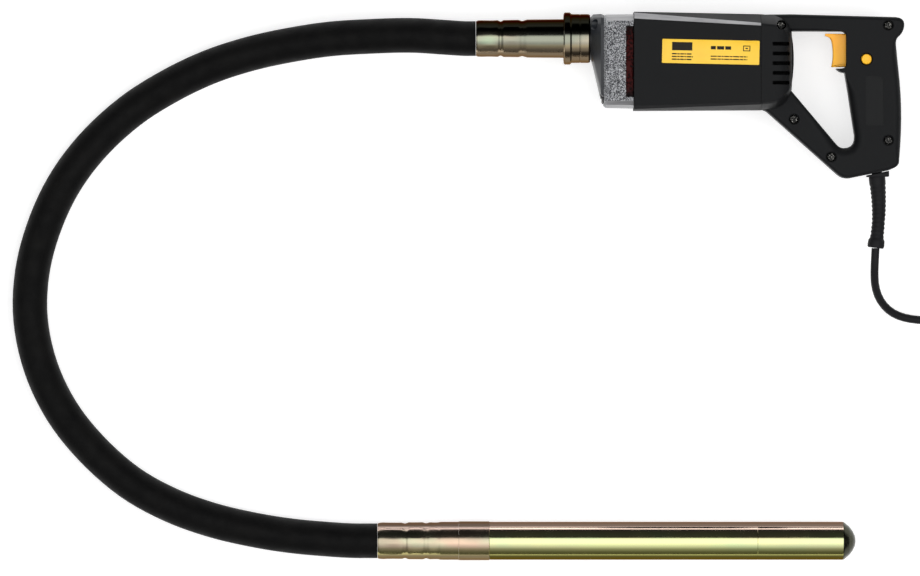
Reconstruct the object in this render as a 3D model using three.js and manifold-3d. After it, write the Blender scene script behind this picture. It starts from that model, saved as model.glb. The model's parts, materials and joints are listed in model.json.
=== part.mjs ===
// Hand-held concrete vibrator: a drive machine with a D handle, a rubber hose round a
// flexible shaft, and a steel poker. It lies on its side, +Z up, in millimetres.
import * as THREE from "three";
import { mergeVertices } from "three/addons/utils/BufferGeometryUtils.js";
import Module from "manifold-3d";

const wasm = await Module();
wasm.setup();

// ---- Driving dimensions --------------------------------------------------------------
const GAP = 0.3;                       // clearance between neighbours that touch
const ROUND_SIDES = 20;                // facets round a turned piece
const FINE_SIDES = 24;                 // facets round the larger turned pieces
const SMALL_SIDES = 12;                // facets round screws and small bores

const MOTOR = { y: 206.5, z: 43 };     // axis of the armature
const GEAR_MODULE = 1;
const PINION_TEETH = 16;
const OUTPUT_TEETH = 26;
const GEAR_CENTRES = 21.1;             // half the tooth sum, plus working clearance
const OUTPUT = { y: MOTOR.y + GEAR_CENTRES, z: MOTOR.z };
const HEAD_RADIUS = 17.5;              // 35 mm poker
const ADAPTER_RADIUS = 17.9;
const POKER = { y: -233.7, z: ADAPTER_RADIUS + 0.05 };

const HOSE_RADIUS = 16;
const LINER_OUTER = 8.3;
const LINER_INNER = 6;
const CORE_RADIUS = 5;

const HOUSING = { front: 161.8, rear: 277.8, halfDepth: 43, wall: 3.2 };
const GEAR_CASE = { front: 134.2, rear: 161.4, halfDepth: 41 };
const NOSE = { face: 122.9, rear: 133.9, spigotStart: 105 };
const COVER = { front: 278.1, rear: 306.5 };
const HANDLE_HALF_DEPTH = 19;
const NUT_RADIUS = 24;

const CORD_RADIUS = 3.75;
const COIL = { x: 490, y: 19, inner: 30.5, outer: 54, bottom: 1.7, top: 24 };

// The frame's origin is under the middle of the machine and the poker.
const FRAME_SHIFT_X = -168.4;

// ---- Solids from three.js geometry ---------------------------------------------------
function signedVolume(geometry) {
  const position = geometry.attributes.position;
  const index = geometry.index;
  const corner = [new THREE.Vector3(), new THREE.Vector3(), new THREE.Vector3()];
  let total = 0;
  for (let i = 0; i < index.count; i += 3) {
    corner.forEach((point, k) => point.fromBufferAttribute(position, index.getX(i + k)));
    total += corner[0].dot(corner[1].clone().cross(corner[2]));
  }
  return total / 6;
}

function closed(geometry) {
  const bare = geometry.clone();
  bare.deleteAttribute("normal");
  bare.deleteAttribute("uv");
  const merged = mergeVertices(bare, 1e-4);
  const kept = [];
  for (let i = 0; i < merged.index.count; i += 3) {
    const [a, b, c] = [0, 1, 2].map((k) => merged.index.getX(i + k));
    if (a !== b && b !== c && c !== a) kept.push(a, b, c);
  }
  merged.setIndex(kept);
  if (signedVolume(merged) < 0) {
    for (let i = 0; i < kept.length; i += 3) {
      [kept[i], kept[i + 1]] = [kept[i + 1], kept[i]];
    }
    merged.setIndex(kept);
  }
  return merged;
}

function solid(geometry) {
  const mesh = closed(geometry);
  return new wasm.Manifold(new wasm.Mesh({
    numProp: 3,
    vertProperties: new Float32Array(mesh.attributes.position.array),
    triVerts: new Uint32Array(mesh.index.array),
  }));
}

function geometryOf(manifold) {
  const mesh = manifold.getMesh();
  const geometry = new THREE.BufferGeometry();
  geometry.setAttribute("position", new THREE.BufferAttribute(mesh.vertProperties, 3));
  geometry.setIndex(new THREE.BufferAttribute(mesh.triVerts, 1));
  return geometry;
}

const cut = (body, ...tools) => tools.reduce((left, tool) => left.subtract(tool), body);
const join = (body, ...others) => others.reduce((sum, other) => sum.add(other), body);

// ---- Shape helpers -------------------------------------------------------------------
function box(x, y, z) {
  // x, y and z are [low, high] pairs.
  const geometry = new THREE.BoxGeometry(x[1] - x[0], y[1] - y[0], z[1] - z[0]);
  geometry.translate((x[0] + x[1]) / 2, (y[0] + y[1]) / 2, (z[0] + z[1]) / 2);
  return solid(geometry);
}

// A closed profile of [x, radius] points turned about an axis that runs along X.
function turnedX(profile, axis, sides = ROUND_SIDES) {
  const points = profile.map(([x, radius]) => new THREE.Vector2(radius, x));
  const geometry = new THREE.LatheGeometry(points, sides);
  geometry.rotateZ(-Math.PI / 2);
  geometry.translate(0, axis.y, axis.z);
  return solid(geometry);
}

// A closed profile of [radius, z] points turned about an upright axis.
function turnedZ(profile, centre, sides = SMALL_SIDES) {
  const points = profile.map(([radius, z]) => new THREE.Vector2(radius, z));
  const geometry = new THREE.LatheGeometry(points, sides);
  geometry.rotateX(Math.PI / 2);
  geometry.translate(centre.x, centre.y, 0);
  return solid(geometry);
}

const rod = (x0, x1, radius) => [[x0, 0], [x0, radius], [x1, radius], [x1, 0]];
const ring = (x0, x1, inner, outer) => [
  [x0, inner], [x0, outer], [x1, outer], [x1, inner], [x0, inner],
];
const pin = (radius, z0, z1) => [[0, z0], [radius, z0], [radius, z1], [0, z1]];

function polygon(points) {
  return new THREE.Shape(points.map(([u, v]) => new THREE.Vector2(u, v)));
}

// An outline in the XY plane, pushed up from z0 to z1, with an optional bevel inside that height.
function plateZ(shape, z0, z1, bevel = 0, curveSegments = 4) {
  const geometry = new THREE.ExtrudeGeometry(shape, {
    depth: z1 - z0 - 2 * bevel,
    steps: 1,
    curveSegments,
    bevelEnabled: bevel > 0,
    bevelThickness: bevel,
    bevelSize: bevel,
    bevelOffset: -bevel,
    bevelSegments: 1,
  });
  geometry.translate(0, 0, z0 + bevel);
  return solid(geometry);
}

// An outline whose points are (y, z), pushed along X from x0 to x1.
function plateX(shape, x0, x1, curveSegments = 6) {
  const geometry = new THREE.ExtrudeGeometry(shape, {
    depth: x1 - x0, steps: 1, curveSegments, bevelEnabled: false,
  });
  const turn = new THREE.Matrix4().makeBasis(
    new THREE.Vector3(0, 1, 0), new THREE.Vector3(0, 0, 1), new THREE.Vector3(1, 0, 0),
  );
  geometry.applyMatrix4(turn);
  geometry.translate(x0, 0, 0);
  return solid(geometry);
}

// A skin over closed rings of points, each ring in a plane across X, with flat ends.
function loft(rings) {
  const count = rings[0].length;
  const positions = rings.flat().flat();
  const index = [];
  for (let r = 0; r + 1 < rings.length; r += 1) {
    for (let i = 0; i < count; i += 1) {
      const a = r * count + i;
      const b = r * count + ((i + 1) % count);
      index.push(a, b, b + count, a, b + count, a + count);
    }
  }
  const last = (rings.length - 1) * count;
  for (let i = 1; i + 1 < count; i += 1) {
    index.push(0, i + 1, i);
    index.push(last, last + i, last + i + 1);
  }
  const geometry = new THREE.BufferGeometry();
  geometry.setAttribute("position", new THREE.Float32BufferAttribute(positions, 3));
  geometry.setIndex(index);
  return solid(geometry);
}

// A chamfered rectangle across X: its corners are cut by (chamferY, chamferZ) and rounded
// a little, three points to each blunt corner.
function chamferedRing(x, yLow, yHigh, halfDepth, chamferY, chamferZ) {
  const z0 = MOTOR.z - halfDepth;
  const z1 = MOTOR.z + halfDepth;
  const ease = 0.3;
  const corners = [
    [yHigh, z1, -1, -1], [yLow, z1, 1, -1], [yLow, z0, 1, 1], [yHigh, z0, -1, 1],
  ];
  const points = [];
  corners.forEach(([y, z, sy, sz], k) => {
    const alongY = [x, y + sy * chamferY, z];
    const alongZ = [x, y, z + sz * chamferZ];
    const middle = [
      x,
      y + sy * chamferY * (0.5 - ease * 0.5),
      z + sz * chamferZ * (0.5 - ease * 0.5),
    ];
    const turnFirst = k % 2 === 0 ? [alongZ, middle, alongY] : [alongY, middle, alongZ];
    points.push(...turnFirst);
  });
  return points;
}

function sector(inner, outer, fromDeg, toDeg, steps) {
  // Points are (y, z) about the motor axis; 0 degrees is +Y.
  const points = [];
  const place = (radius, degrees) => {
    const angle = THREE.MathUtils.degToRad(degrees);
    points.push([MOTOR.y + radius * Math.cos(angle), MOTOR.z + radius * Math.sin(angle)]);
  };
  for (let i = 0; i <= steps; i += 1) place(outer, fromDeg + ((toDeg - fromDeg) * i) / steps);
  for (let i = steps; i >= 0; i -= 1) place(inner, fromDeg + ((toDeg - fromDeg) * i) / steps);
  return polygon(points);
}

// ---- The scene graph and its finishes ------------------------------------------------
const assembly = new THREE.Group();
const placed = new THREE.Group();
placed.position.x = FRAME_SHIFT_X;
assembly.add(placed);

const FINISH = {
  blackPlastic: [0x1d1e20, 0.55, 0],
  softPlastic: [0x242527, 0.7, 0],
  castAluminium: [0x9a9ba0, 0.6, 0.7],
  zincYellow: [0xa9a25a, 0.35, 0.9],
  bareSteel: [0x9fa1a4, 0.35, 1],
  springSteel: [0xb9bbbd, 0.3, 1],
  laminatedSteel: [0x6a6c70, 0.55, 0.9],
  copper: [0xb06a3a, 0.4, 0.9],
  redPlastic: [0x5a0f0d, 0.5, 0],
  carbon: [0x2a2a2c, 0.8, 0.1],
  rubber: [0x151515, 0.85, 0],
  orange: [0xf9a22b, 0.45, 0],
  label: [0xf3c62e, 0.5, 0],
};

function add(name, geometry, [color, roughness, metalness]) {
  const material = new THREE.MeshStandardMaterial({ color, roughness, metalness });
  const mesh = new THREE.Mesh(geometry, material);
  mesh.name = name;
  placed.add(mesh);
}

const addSolid = (name, body, finish) => add(name, geometryOf(body), finish);

// ---- Motor housing and label ---------------------------------------------------------
function motorHousing() {
  const { front, rear, halfDepth, wall } = HOUSING;
  const outer = loft([
    chamferedRing(front, 162, 251.6, halfDepth, 7, 13),
    chamferedRing(rear, 161.8, 249.6, halfDepth, 12, 13),
  ]);
  const inner = loft([
    chamferedRing(front - 1, 162 + wall, 251.6 - wall, halfDepth - wall, 6, 11),
    chamferedRing(rear + 1, 161.8 + wall, 249.6 - wall, halfDepth - wall, 10, 11),
  ]);
  return cut(outer, inner);
}
addSolid("motor_housing", motorHousing(), FINISH.blackPlastic);

function ratingLabel() {
  const length = 89;
  const height = 22;
  const thickness = 0.5;
  const geometry = new THREE.BoxGeometry(length, height, thickness);
  const top = HOUSING.halfDepth + MOTOR.z;
  geometry.rotateZ(THREE.MathUtils.degToRad(-1.2));
  geometry.translate(231.8, 214.6, top + GAP + thickness / 2);
  return geometry;
}
add("rating_label", ratingLabel(), FINISH.label);

// ---- Gear case and gear plate --------------------------------------------------------
const CASE_SCREWS = [[240, 70], [240, 16], [171.6, 70], [171.6, 16]];
const SCREW_HEAD = { from: 132.4, to: 135.9, radius: 3.9, shank: 2.1, end: 144.2 };
const GEAR_ROOM = { y: [188, 243.4], z: [MOTOR.z - 19, MOTOR.z + 19] };
const PLATE = { front: 145.6, rear: 153.6 };
const NOSE_SEAT = { front: 123.7, radius: 13.3 };

// The casting's nose: a low pyramid that ends in the spigot for the coupling nut.
function nose() {
  const { face, rear, spigotStart } = NOSE;
  const pyramid = loft([
    chamferedRing(face, 207.6, 247.8, 24, 9, 9),
    chamferedRing(face + 1.5, 202.6, 249.4, 26, 9, 9),
    chamferedRing(rear - 2.4, 172.5, 249.8, 37, 10, 12),
    chamferedRing(rear + 1, 170.5, 248.4, 38, 8, 12),
  ]);
  return join(pyramid, turnedX(rod(spigotStart, face + 1, 19.8), OUTPUT));
}

function gearCase() {
  const { front, rear, halfDepth } = GEAR_CASE;
  const shell = loft([
    chamferedRing(front, 166, 247.4, halfDepth - 2, 7, 9),
    chamferedRing(front + 2, 164.2, 249, halfDepth, 6, 10),
    chamferedRing(rear, 163.8, 249.2, halfDepth, 6, 10),
  ]);
  const frontRoom = box([NOSE.rear, PLATE.rear + 1], GEAR_ROOM.y, GEAR_ROOM.z);
  const plateRoom = box([PLATE.front - GAP, rear + 1], [170, 244.6], [MOTOR.z - 34, MOTOR.z + 34]);
  const baffleRoom = box([PLATE.rear, rear + 1], [168, 244.6], [MOTOR.z - 37, MOTOR.z + 37]);
  const windows = box([PLATE.rear + 0.7, rear + 1], [173.4, 238.4], [-10, 100]);
  const spindleBore = turnedX(rod(NOSE.spigotStart - 1, front + 1, 8.4), OUTPUT);
  const bearingSeat = turnedX(rod(NOSE_SEAT.front, front + 1, NOSE_SEAT.radius), OUTPUT);
  const screwWays = CASE_SCREWS.flatMap(([y, z]) => [
    turnedX(rod(NOSE.face - 1, SCREW_HEAD.to + GAP, SCREW_HEAD.radius + 1.1), { y, z }, 12),
    turnedX(rod(front - 1, PLATE.front, SCREW_HEAD.shank + GAP), { y, z }, 12),
  ]);
  return cut(
    join(shell, nose()), frontRoom, plateRoom, baffleRoom, windows, spindleBore, bearingSeat, ...screwWays,
  );
}
addSolid("gear_case", gearCase(), FINISH.castAluminium);

CASE_SCREWS.forEach(([y, z], i) => {
  const { from, to, radius, shank, end } = SCREW_HEAD;
  const profile = [
    [from, 0], [from, radius - 0.8], [from + 1, radius], [to, radius], [to, shank], [end, shank], [end, 0],
  ];
  addSolid(`gear_case_screw_${i + 1}`, turnedX(profile, { y, z }, 12), FINISH.bareSteel);
});

const SMALL_BEARING = { radius: 8, bore: 4.6 };
const ARMATURE_BEARING = { radius: 11, bore: 5.3 };

function gearPlate() {
  const { front, rear } = PLATE;
  const plate = box([front, rear], [170.4, 244.2], [MOTOR.z - 33.6, MOTOR.z + 33.6]);
  const motorSeat = turnedX(rod(front - 1, rear + 1, ARMATURE_BEARING.radius + GAP), MOTOR);
  const outputSeat = turnedX(rod(front - 1, rear + 1, SMALL_BEARING.radius + GAP), OUTPUT);
  return cut(plate, motorSeat, outputSeat);
}
addSolid("gear_plate", gearPlate(), FINISH.castAluminium);

const bearing = (x0, x1, size, axis) => turnedX(ring(x0, x1, size.bore, size.radius), axis);
addSolid("armature_bearing_front", bearing(146, 153, ARMATURE_BEARING, MOTOR), FINISH.bareSteel);
addSolid("spindle_bearing_rear", bearing(146.4, 152.8, SMALL_BEARING, OUTPUT), FINISH.bareSteel);
addSolid(
  "spindle_bearing_front",
  bearing(124.2, 132.2, { radius: 13, bore: 6.5 }, OUTPUT),
  FINISH.bareSteel,
);

function fanBaffle() {
  const plate = box([154, 160.9], [169.6, 243], [MOTOR.z - 36, MOTOR.z + 36]);
  return cut(plate, turnedX(rod(153, 162, 33.4), MOTOR, FINE_SIDES));
}
addSolid("fan_baffle", fanBaffle(), FINISH.redPlastic);

// ---- Gears ---------------------------------------------------------------------------
// A spur gear outline with involute flanks, given a little backlash and tip clearance.
function gearShape(teeth, axis, toothAtDeg) {
  const pitch = (GEAR_MODULE * teeth) / 2;
  const base = pitch * Math.cos(THREE.MathUtils.degToRad(20));
  const root = pitch - 1.35 * GEAR_MODULE;
  const tip = pitch + 0.85 * GEAR_MODULE;
  const backlash = 0.36;
  const involute = (radius) => {
    if (radius <= base) return 0;
    const pressure = Math.acos(base / radius);
    return Math.tan(pressure) - pressure;
  };
  const halfAtPitch = Math.PI / (2 * teeth) - backlash / (2 * pitch);
  const halfTooth = (radius) => halfAtPitch + involute(pitch) - involute(radius);
  const flank = [root, pitch, tip];
  const points = [];
  for (let i = 0; i < teeth; i += 1) {
    const centre = THREE.MathUtils.degToRad(toothAtDeg) + (2 * Math.PI * i) / teeth;
    const place = (radius, side) => {
      const angle = centre + side * halfTooth(radius);
      points.push([axis.y + radius * Math.cos(angle), axis.z + radius * Math.sin(angle)]);
    };
    flank.forEach((radius) => place(radius, -1));
    [...flank].reverse().forEach((radius) => place(radius, 1));
  }
  return polygon(points);
}

function gear(teeth, axis, toothAtDeg, x0, x1, bore) {
  const wheel = plateX(gearShape(teeth, axis, toothAtDeg), x0, x1);
  return cut(wheel, turnedX(rod(x0 - 1, x1 + 1, bore), axis));
}
const HALF_PITCH_DEG = 180 / PINION_TEETH;
addSolid("armature_pinion", gear(PINION_TEETH, MOTOR, HALF_PITCH_DEG, 135.4, 144.6, 4.3), FINISH.bareSteel);
addSolid("output_gear", gear(OUTPUT_TEETH, OUTPUT, 0, 135.8, 144, 6.3), FINISH.bareSteel);

// ---- Motor ---------------------------------------------------------------------------
const STATOR = { front: 178, rear: 230, radius: 37.5, poleRadius: 24.6, loopRadius: 33.2 };

function statorCore() {
  const { front, rear, radius, poleRadius, loopRadius } = STATOR;
  const yoke = cut(
    turnedX(rod(front, rear, radius), MOTOR, FINE_SIDES),
    turnedX(rod(front - 1, rear + 1, loopRadius + GAP), MOTOR, FINE_SIDES),
  );
  const poleShape = (middle) => sector(poleRadius, loopRadius + 1.5, middle - 34, middle + 34, 8);
  const pole = (middle) => plateX(poleShape(middle), front, rear);
  return join(yoke, pole(0), pole(180));
}
addSolid("stator_core", statorCore(), FINISH.laminatedSteel);

function fieldCoil(middle) {
  const { front, rear, poleRadius, loopRadius } = STATOR;
  const blockShape = sector(poleRadius + 1, loopRadius - GAP, middle - 62, middle + 62, 12);
  const eyeShape = sector(poleRadius - 2, loopRadius + 2, middle - 36, middle + 36, 8);
  const block = plateX(blockShape, front - 8, rear + 8);
  const eye = plateX(eyeShape, front - GAP, rear + GAP);
  return cut(block, eye);
}
addSolid("field_coil_upper", fieldCoil(0), FINISH.copper);
addSolid("field_coil_lower", fieldCoil(180), FINISH.copper);

const ARMATURE_CORE = { front: 179, rear: 229, radius: 23.9, slots: 12 };
const SHAFT_RADIUS = 4;

// A round body about the motor axis with evenly spaced slots along it.
function slotted(x0, x1, radius, slotRadius, slots, halfSlotDeg) {
  const points = [];
  const place = (distance, degrees) => {
    const angle = THREE.MathUtils.degToRad(degrees);
    points.push([MOTOR.y + distance * Math.cos(angle), MOTOR.z + distance * Math.sin(angle)]);
  };
  for (let i = 0; i < slots; i += 1) {
    const middle = (360 * i) / slots;
    place(radius, middle - halfSlotDeg);
    place(slotRadius, middle - halfSlotDeg);
    place(slotRadius, middle + halfSlotDeg);
    place(radius, middle + halfSlotDeg);
    place(radius, middle + 180 / slots);
  }
  const bore = turnedX(rod(x0 - 1, x1 + 1, SHAFT_RADIUS + GAP), MOTOR, SMALL_SIDES);
  return cut(plateX(polygon(points), x0, x1), bore);
}

const armatureCore = () => {
  const { front, rear, radius, slots } = ARMATURE_CORE;
  return slotted(front, rear, radius, radius - 7, slots, 3.6);
};
addSolid("armature_core", armatureCore(), FINISH.laminatedSteel);

const shaftProfile = [
  [134.8, 0], [134.8, SHAFT_RADIUS], [145.2, SHAFT_RADIUS], [145.2, 5], [153.4, 5],
  [153.4, SHAFT_RADIUS], [261.4, SHAFT_RADIUS], [261.4, 3.8], [270, 3.8], [270, 0],
];
addSolid("armature_shaft", turnedX(shaftProfile, MOTOR, SMALL_SIDES), FINISH.bareSteel);

function endWinding(x0, x1) {
  const bulge = 2.5;
  const inner = SHAFT_RADIUS + GAP + 1;
  return turnedX([
    [x0, inner], [x0, 16], [x0 + bulge, 20.5], [x1 - bulge, 20.5], [x1, 18], [x1, inner], [x0, inner],
  ], MOTOR);
}
addSolid("armature_winding_front", endWinding(168.6, 178.7), FINISH.copper);
addSolid("armature_winding_rear", endWinding(229.3, 238.6), FINISH.copper);

addSolid("commutator", slotted(240, 257, 12.2, 11.4, 12, 2), FINISH.copper);

function fan() {
  const blades = 12;
  const hub = turnedX(ring(154.6, 166.4, SHAFT_RADIUS + GAP, 9), MOTOR, SMALL_SIDES);
  const disc = turnedX(ring(164.4, 166.4, SHAFT_RADIUS + GAP, 31.6), MOTOR, SMALL_SIDES * 2);
  const vanes = Array.from({ length: blades }, (_, i) => {
    const middle = (360 * i) / blades;
    return plateX(sector(13, 31.4, middle - 1.6, middle + 1.6, 1), 156.4, 164.8);
  });
  return join(hub, disc, ...vanes);
}
addSolid("fan", fan(), FINISH.softPlastic);

const BRACKET = { front: 260, rear: 269, radius: 36 };
const BRUSH = { x: [244, 252], halfZ: 3.2, from: 12.7, to: 27 };

function rearBracket() {
  const { front, rear, radius } = BRACKET;
  const disc = turnedX(rod(front, rear, radius), MOTOR, FINE_SIDES);
  const airHoles = [60, 120, 240, 300].map((middle) => (
    plateX(sector(16, 31, middle - 20, middle + 20, 4), front - 1, rear + 1)
  ));
  const seat = turnedX(rod(front + 0.8, rear + 1, ARMATURE_BEARING.radius + GAP), MOTOR);
  const shaftHole = turnedX(rod(front - 1, rear + 1, 8), MOTOR, SMALL_SIDES);
  const boxes = [1, -1].map((side) => {
    const y = [MOTOR.y + side * 14.4, MOTOR.y + side * 31].sort((a, b) => a - b);
    const hole = [MOTOR.y + side * 10, MOTOR.y + side * 33].sort((a, b) => a - b);
    return cut(
      box([BRUSH.x[0] - 2.5, front + 0.5], y, [MOTOR.z - 6, MOTOR.z + 6]),
      box(
        [BRUSH.x[0] - GAP, BRUSH.x[1] + GAP],
        hole,
        [MOTOR.z - BRUSH.halfZ - GAP, MOTOR.z + BRUSH.halfZ + GAP],
      ),
    );
  });
  return join(cut(disc, seat, shaftHole, ...airHoles), ...boxes);
}
addSolid("rear_bearing_bracket", rearBracket(), FINISH.softPlastic);
addSolid("armature_bearing_rear", bearing(261.4, 268.4, { radius: 11, bore: 4.1 }, MOTOR), FINISH.bareSteel);

[["upper", 1], ["lower", -1]].forEach(([name, side]) => {
  const y = [MOTOR.y + side * BRUSH.from, MOTOR.y + side * BRUSH.to].sort((a, b) => a - b);
  const brush = box(BRUSH.x, y, [MOTOR.z - BRUSH.halfZ, MOTOR.z + BRUSH.halfZ]);
  addSolid(`carbon_brush_${name}`, brush, FINISH.carbon);
});

// ---- Handle --------------------------------------------------------------------------
// The D handle's outline from the housing seam, over the top arm, down the grip and back up
// the slanted arm.
function handleOutline() {
  const outline = new THREE.Shape();
  outline.moveTo(COVER.front, 249.4);
  outline.lineTo(306, 249.6);
  outline.lineTo(402, 247);
  outline.quadraticCurveTo(411, 246.4, 409.6, 238);
  outline.quadraticCurveTo(408.6, 232.5, 404.4, 229);
  outline.quadraticCurveTo(401.6, 226.5, 402.1, 222);
  outline.quadraticCurveTo(403.6, 207, 405.6, 188);
  outline.quadraticCurveTo(408.2, 160, 406.2, 130);
  outline.lineTo(404.9, 114);
  outline.quadraticCurveTo(404.4, 110.6, 400, 108.6);
  outline.lineTo(395.4, 106.6);
  outline.lineTo(360, 99.4);
  outline.quadraticCurveTo(353.6, 98.4, 348.6, 102.6);
  outline.lineTo(286, 158.4);
  outline.quadraticCurveTo(282.6, 161.6, COVER.front, 161.9);
  outline.closePath();
  return outline;
}

// The hand opening, drawn clockwise from its upper left corner, with the spur under the trigger.
function handOpening() {
  const opening = new THREE.Shape();
  opening.moveTo(305.4, 234.2);
  opening.lineTo(352, 234.2);
  opening.quadraticCurveTo(356.2, 234, 356.3, 230);
  opening.lineTo(356.3, 202);
  opening.quadraticCurveTo(355, 199.4, 347.4, 199.8);
  opening.quadraticCurveTo(350, 196.4, 355.4, 196);
  opening.quadraticCurveTo(357, 186, 359.4, 170);
  opening.quadraticCurveTo(362, 152, 364.3, 138);
  opening.quadraticCurveTo(364.6, 127.2, 354.4, 127);
  opening.quadraticCurveTo(350.4, 127, 347.6, 130.4);
  opening.lineTo(305.4, 180.4);
  opening.closePath();
  return opening;
}

const HANDLE_SCREWS = [[296.8, 239.6], [395, 239.4], [308.6, 153.4], [342.7, 118.8], [395, 134.1]];
const SWITCH_ROOM = { x: [359.5, 399], y: [180, 232.6], halfZ: 13 };
const TRIGGER_SLOT = { y: [200.9, 232.3], halfZ: 8.8 };
const LOCK = { x: 374.9, y: 208.4, radius: 4.8 };

const VENTS = { count: 5, top: 222.1, pitch: 8.9, height: 3.5, start: 288.4 };

function rearCover() {
  const { front, rear } = COVER;
  const bulged = (inset) => loft([
    chamferedRing(
      front - (inset ? 1 : 0), 161.9 + inset, 249.5 - inset, 43 - inset, 12 - inset / 3, 13 - inset / 3,
    ),
    chamferedRing(296, 164 + inset, 247 - inset, 41.6 - inset, 13, 14),
    chamferedRing(rear - 3 - inset, 172 + inset, 240.6 - inset, 37 - inset, 14, 15),
    chamferedRing(rear - inset, 180 + inset, 233.6 - inset, 31 - inset, 14, 14),
  ]);
  return { skin: bulged(0), room: bulged(3) };
}

function wholeHandle() {
  const z = [MOTOR.z - HANDLE_HALF_DEPTH, MOTOR.z + HANDLE_HALF_DEPTH];
  const dee = cut(plateZ(handleOutline(), z[0], z[1], 3), plateZ(handOpening(), z[0] - 1, z[1] + 1));
  const cover = rearCover();
  const vents = Array.from({ length: VENTS.count }, (_, i) => {
    const y = VENTS.top - VENTS.pitch * i;
    const x = [VENTS.start, rearVentEnd(i)];
    const half = VENTS.height / 2;
    // The far side's slots stand half a pitch lower, so nothing is seen straight through.
    const farY = y - VENTS.pitch / 2;
    return join(
      box(x, [y - half, y + half], [MOTOR.z + 2, 100]),
      box(x, [farY - half, farY + half], [-10, MOTOR.z - 2]),
    );
  });
  const switchRoom = box(
    SWITCH_ROOM.x,
    SWITCH_ROOM.y,
    [MOTOR.z - SWITCH_ROOM.halfZ, MOTOR.z + SWITCH_ROOM.halfZ],
  );
  const triggerSlot = box(
    [346, SWITCH_ROOM.x[0] + 1],
    TRIGGER_SLOT.y,
    [MOTOR.z - TRIGGER_SLOT.halfZ, MOTOR.z + TRIGGER_SLOT.halfZ],
  );
  const gripRoom = plateZ(
    polygon([[363, 181], [370, 142], [389, 142], [400, 160], [399, 181]]),
    MOTOR.z - 13,
    MOTOR.z + 13,
  );
  const cordWay = box([377.6, 389.2], [100, 143], [MOTOR.z - 6, MOTOR.z + 6]);
  const collarWay = box([375, 394.6], [109.2, 115.2], [MOTOR.z - 9.6, MOTOR.z + 9.6]);
  const lockHole = turnedZ(pin(LOCK.radius + 0.4, 50, 70), LOCK);
  const rooms = [cover.room, ...vents, switchRoom, triggerSlot, gripRoom, cordWay, collarWay, lockHole];
  const hollow = cut(join(dee, cover.skin), ...rooms);
  const screwWays = HANDLE_SCREWS.flatMap(([x, y]) => [
    turnedZ(pin(4.5, 58, 90), { x, y }),
    turnedZ(pin(2.2, 26, 60), { x, y }, 10),
  ]);
  return cut(hollow, ...screwWays);
}

function rearVentEnd(i) {
  // The middle slots reach furthest over the bulged end.
  return 304.6 - Math.abs(i - 2) * 0.5;
}

const handle = wholeHandle();
const upperHalf = box([200, 500], [0, 300], [MOTOR.z + GAP / 2, 120]);
const lowerHalf = box([200, 500], [0, 300], [-40, MOTOR.z - GAP / 2]);
addSolid("handle_shell_left", handle.intersect(upperHalf), FINISH.blackPlastic);
addSolid("handle_shell_right", handle.intersect(lowerHalf), FINISH.blackPlastic);

HANDLE_SCREWS.forEach(([x, y], i) => {
  const screw = turnedZ([[0, 28], [1.8, 28], [1.8, 58.4], [3.9, 58.4], [3.9, 60.6], [0, 60.6]], { x, y }, 10);
  addSolid(`handle_screw_${i + 1}`, screw, FINISH.bareSteel);
});

// ---- Trigger, switch and lock button -------------------------------------------------
function trigger() {
  const outline = new THREE.Shape();
  outline.moveTo(337.9, 231.8);
  outline.lineTo(356.6, 231.8);
  outline.lineTo(356.6, 227);
  outline.lineTo(365.4, 227);
  outline.lineTo(365.4, 206);
  outline.lineTo(356.6, 206);
  outline.lineTo(356.6, 201.5);
  outline.lineTo(343, 201.5);
  outline.quadraticCurveTo(344.6, 214, 343.6, 224);
  outline.quadraticCurveTo(342.8, 229.4, 337.9, 230);
  outline.closePath();
  return plateZ(outline, MOTOR.z - 8, MOTOR.z + 8, 0, 4);
}
addSolid("trigger", trigger(), FINISH.orange);

const switchBody = box([374.4, 398.4], [190, 230], [MOTOR.z - 10, MOTOR.z + 10]);
addSolid("switch_body", switchBody, FINISH.softPlastic);

function springPath(x0, x1, radius, turns, axis) {
  const points = [];
  const steps = turns * 8;
  for (let i = 0; i <= steps; i += 1) {
    const angle = (2 * Math.PI * i) / 8;
    const x = x0 + ((x1 - x0) * i) / steps;
    points.push(new THREE.Vector3(x, axis.y + radius * Math.cos(angle), axis.z + radius * Math.sin(angle)));
  }
  return new THREE.CatmullRomCurve3(points);
}

function tube(path, steps, outer, inner, sides, boreSides = 8) {
  const circle = (radius, count) => Array.from({ length: count }, (_, i) => {
    const angle = (2 * Math.PI * i) / count;
    return new THREE.Vector2(radius * Math.cos(angle), radius * Math.sin(angle));
  });
  const shape = new THREE.Shape(circle(outer, sides));
  if (inner > 0) shape.holes.push(new THREE.Path(circle(inner, boreSides)));
  return closed(new THREE.ExtrudeGeometry(shape, { extrudePath: path, steps }));
}

const springAxis = { y: 216, z: MOTOR.z };
add("trigger_spring", tube(springPath(366.4, 373.4, 4, 3, springAxis), 24, 0.45, 0, 4), FINISH.springSteel);

const lockButton = [[0, 55.4], [LOCK.radius, 55.4], [LOCK.radius, 62.2], [LOCK.radius - 1, 63], [0, 63]];
addSolid("lock_button", turnedZ(lockButton, LOCK, 20), FINISH.orange);

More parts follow.
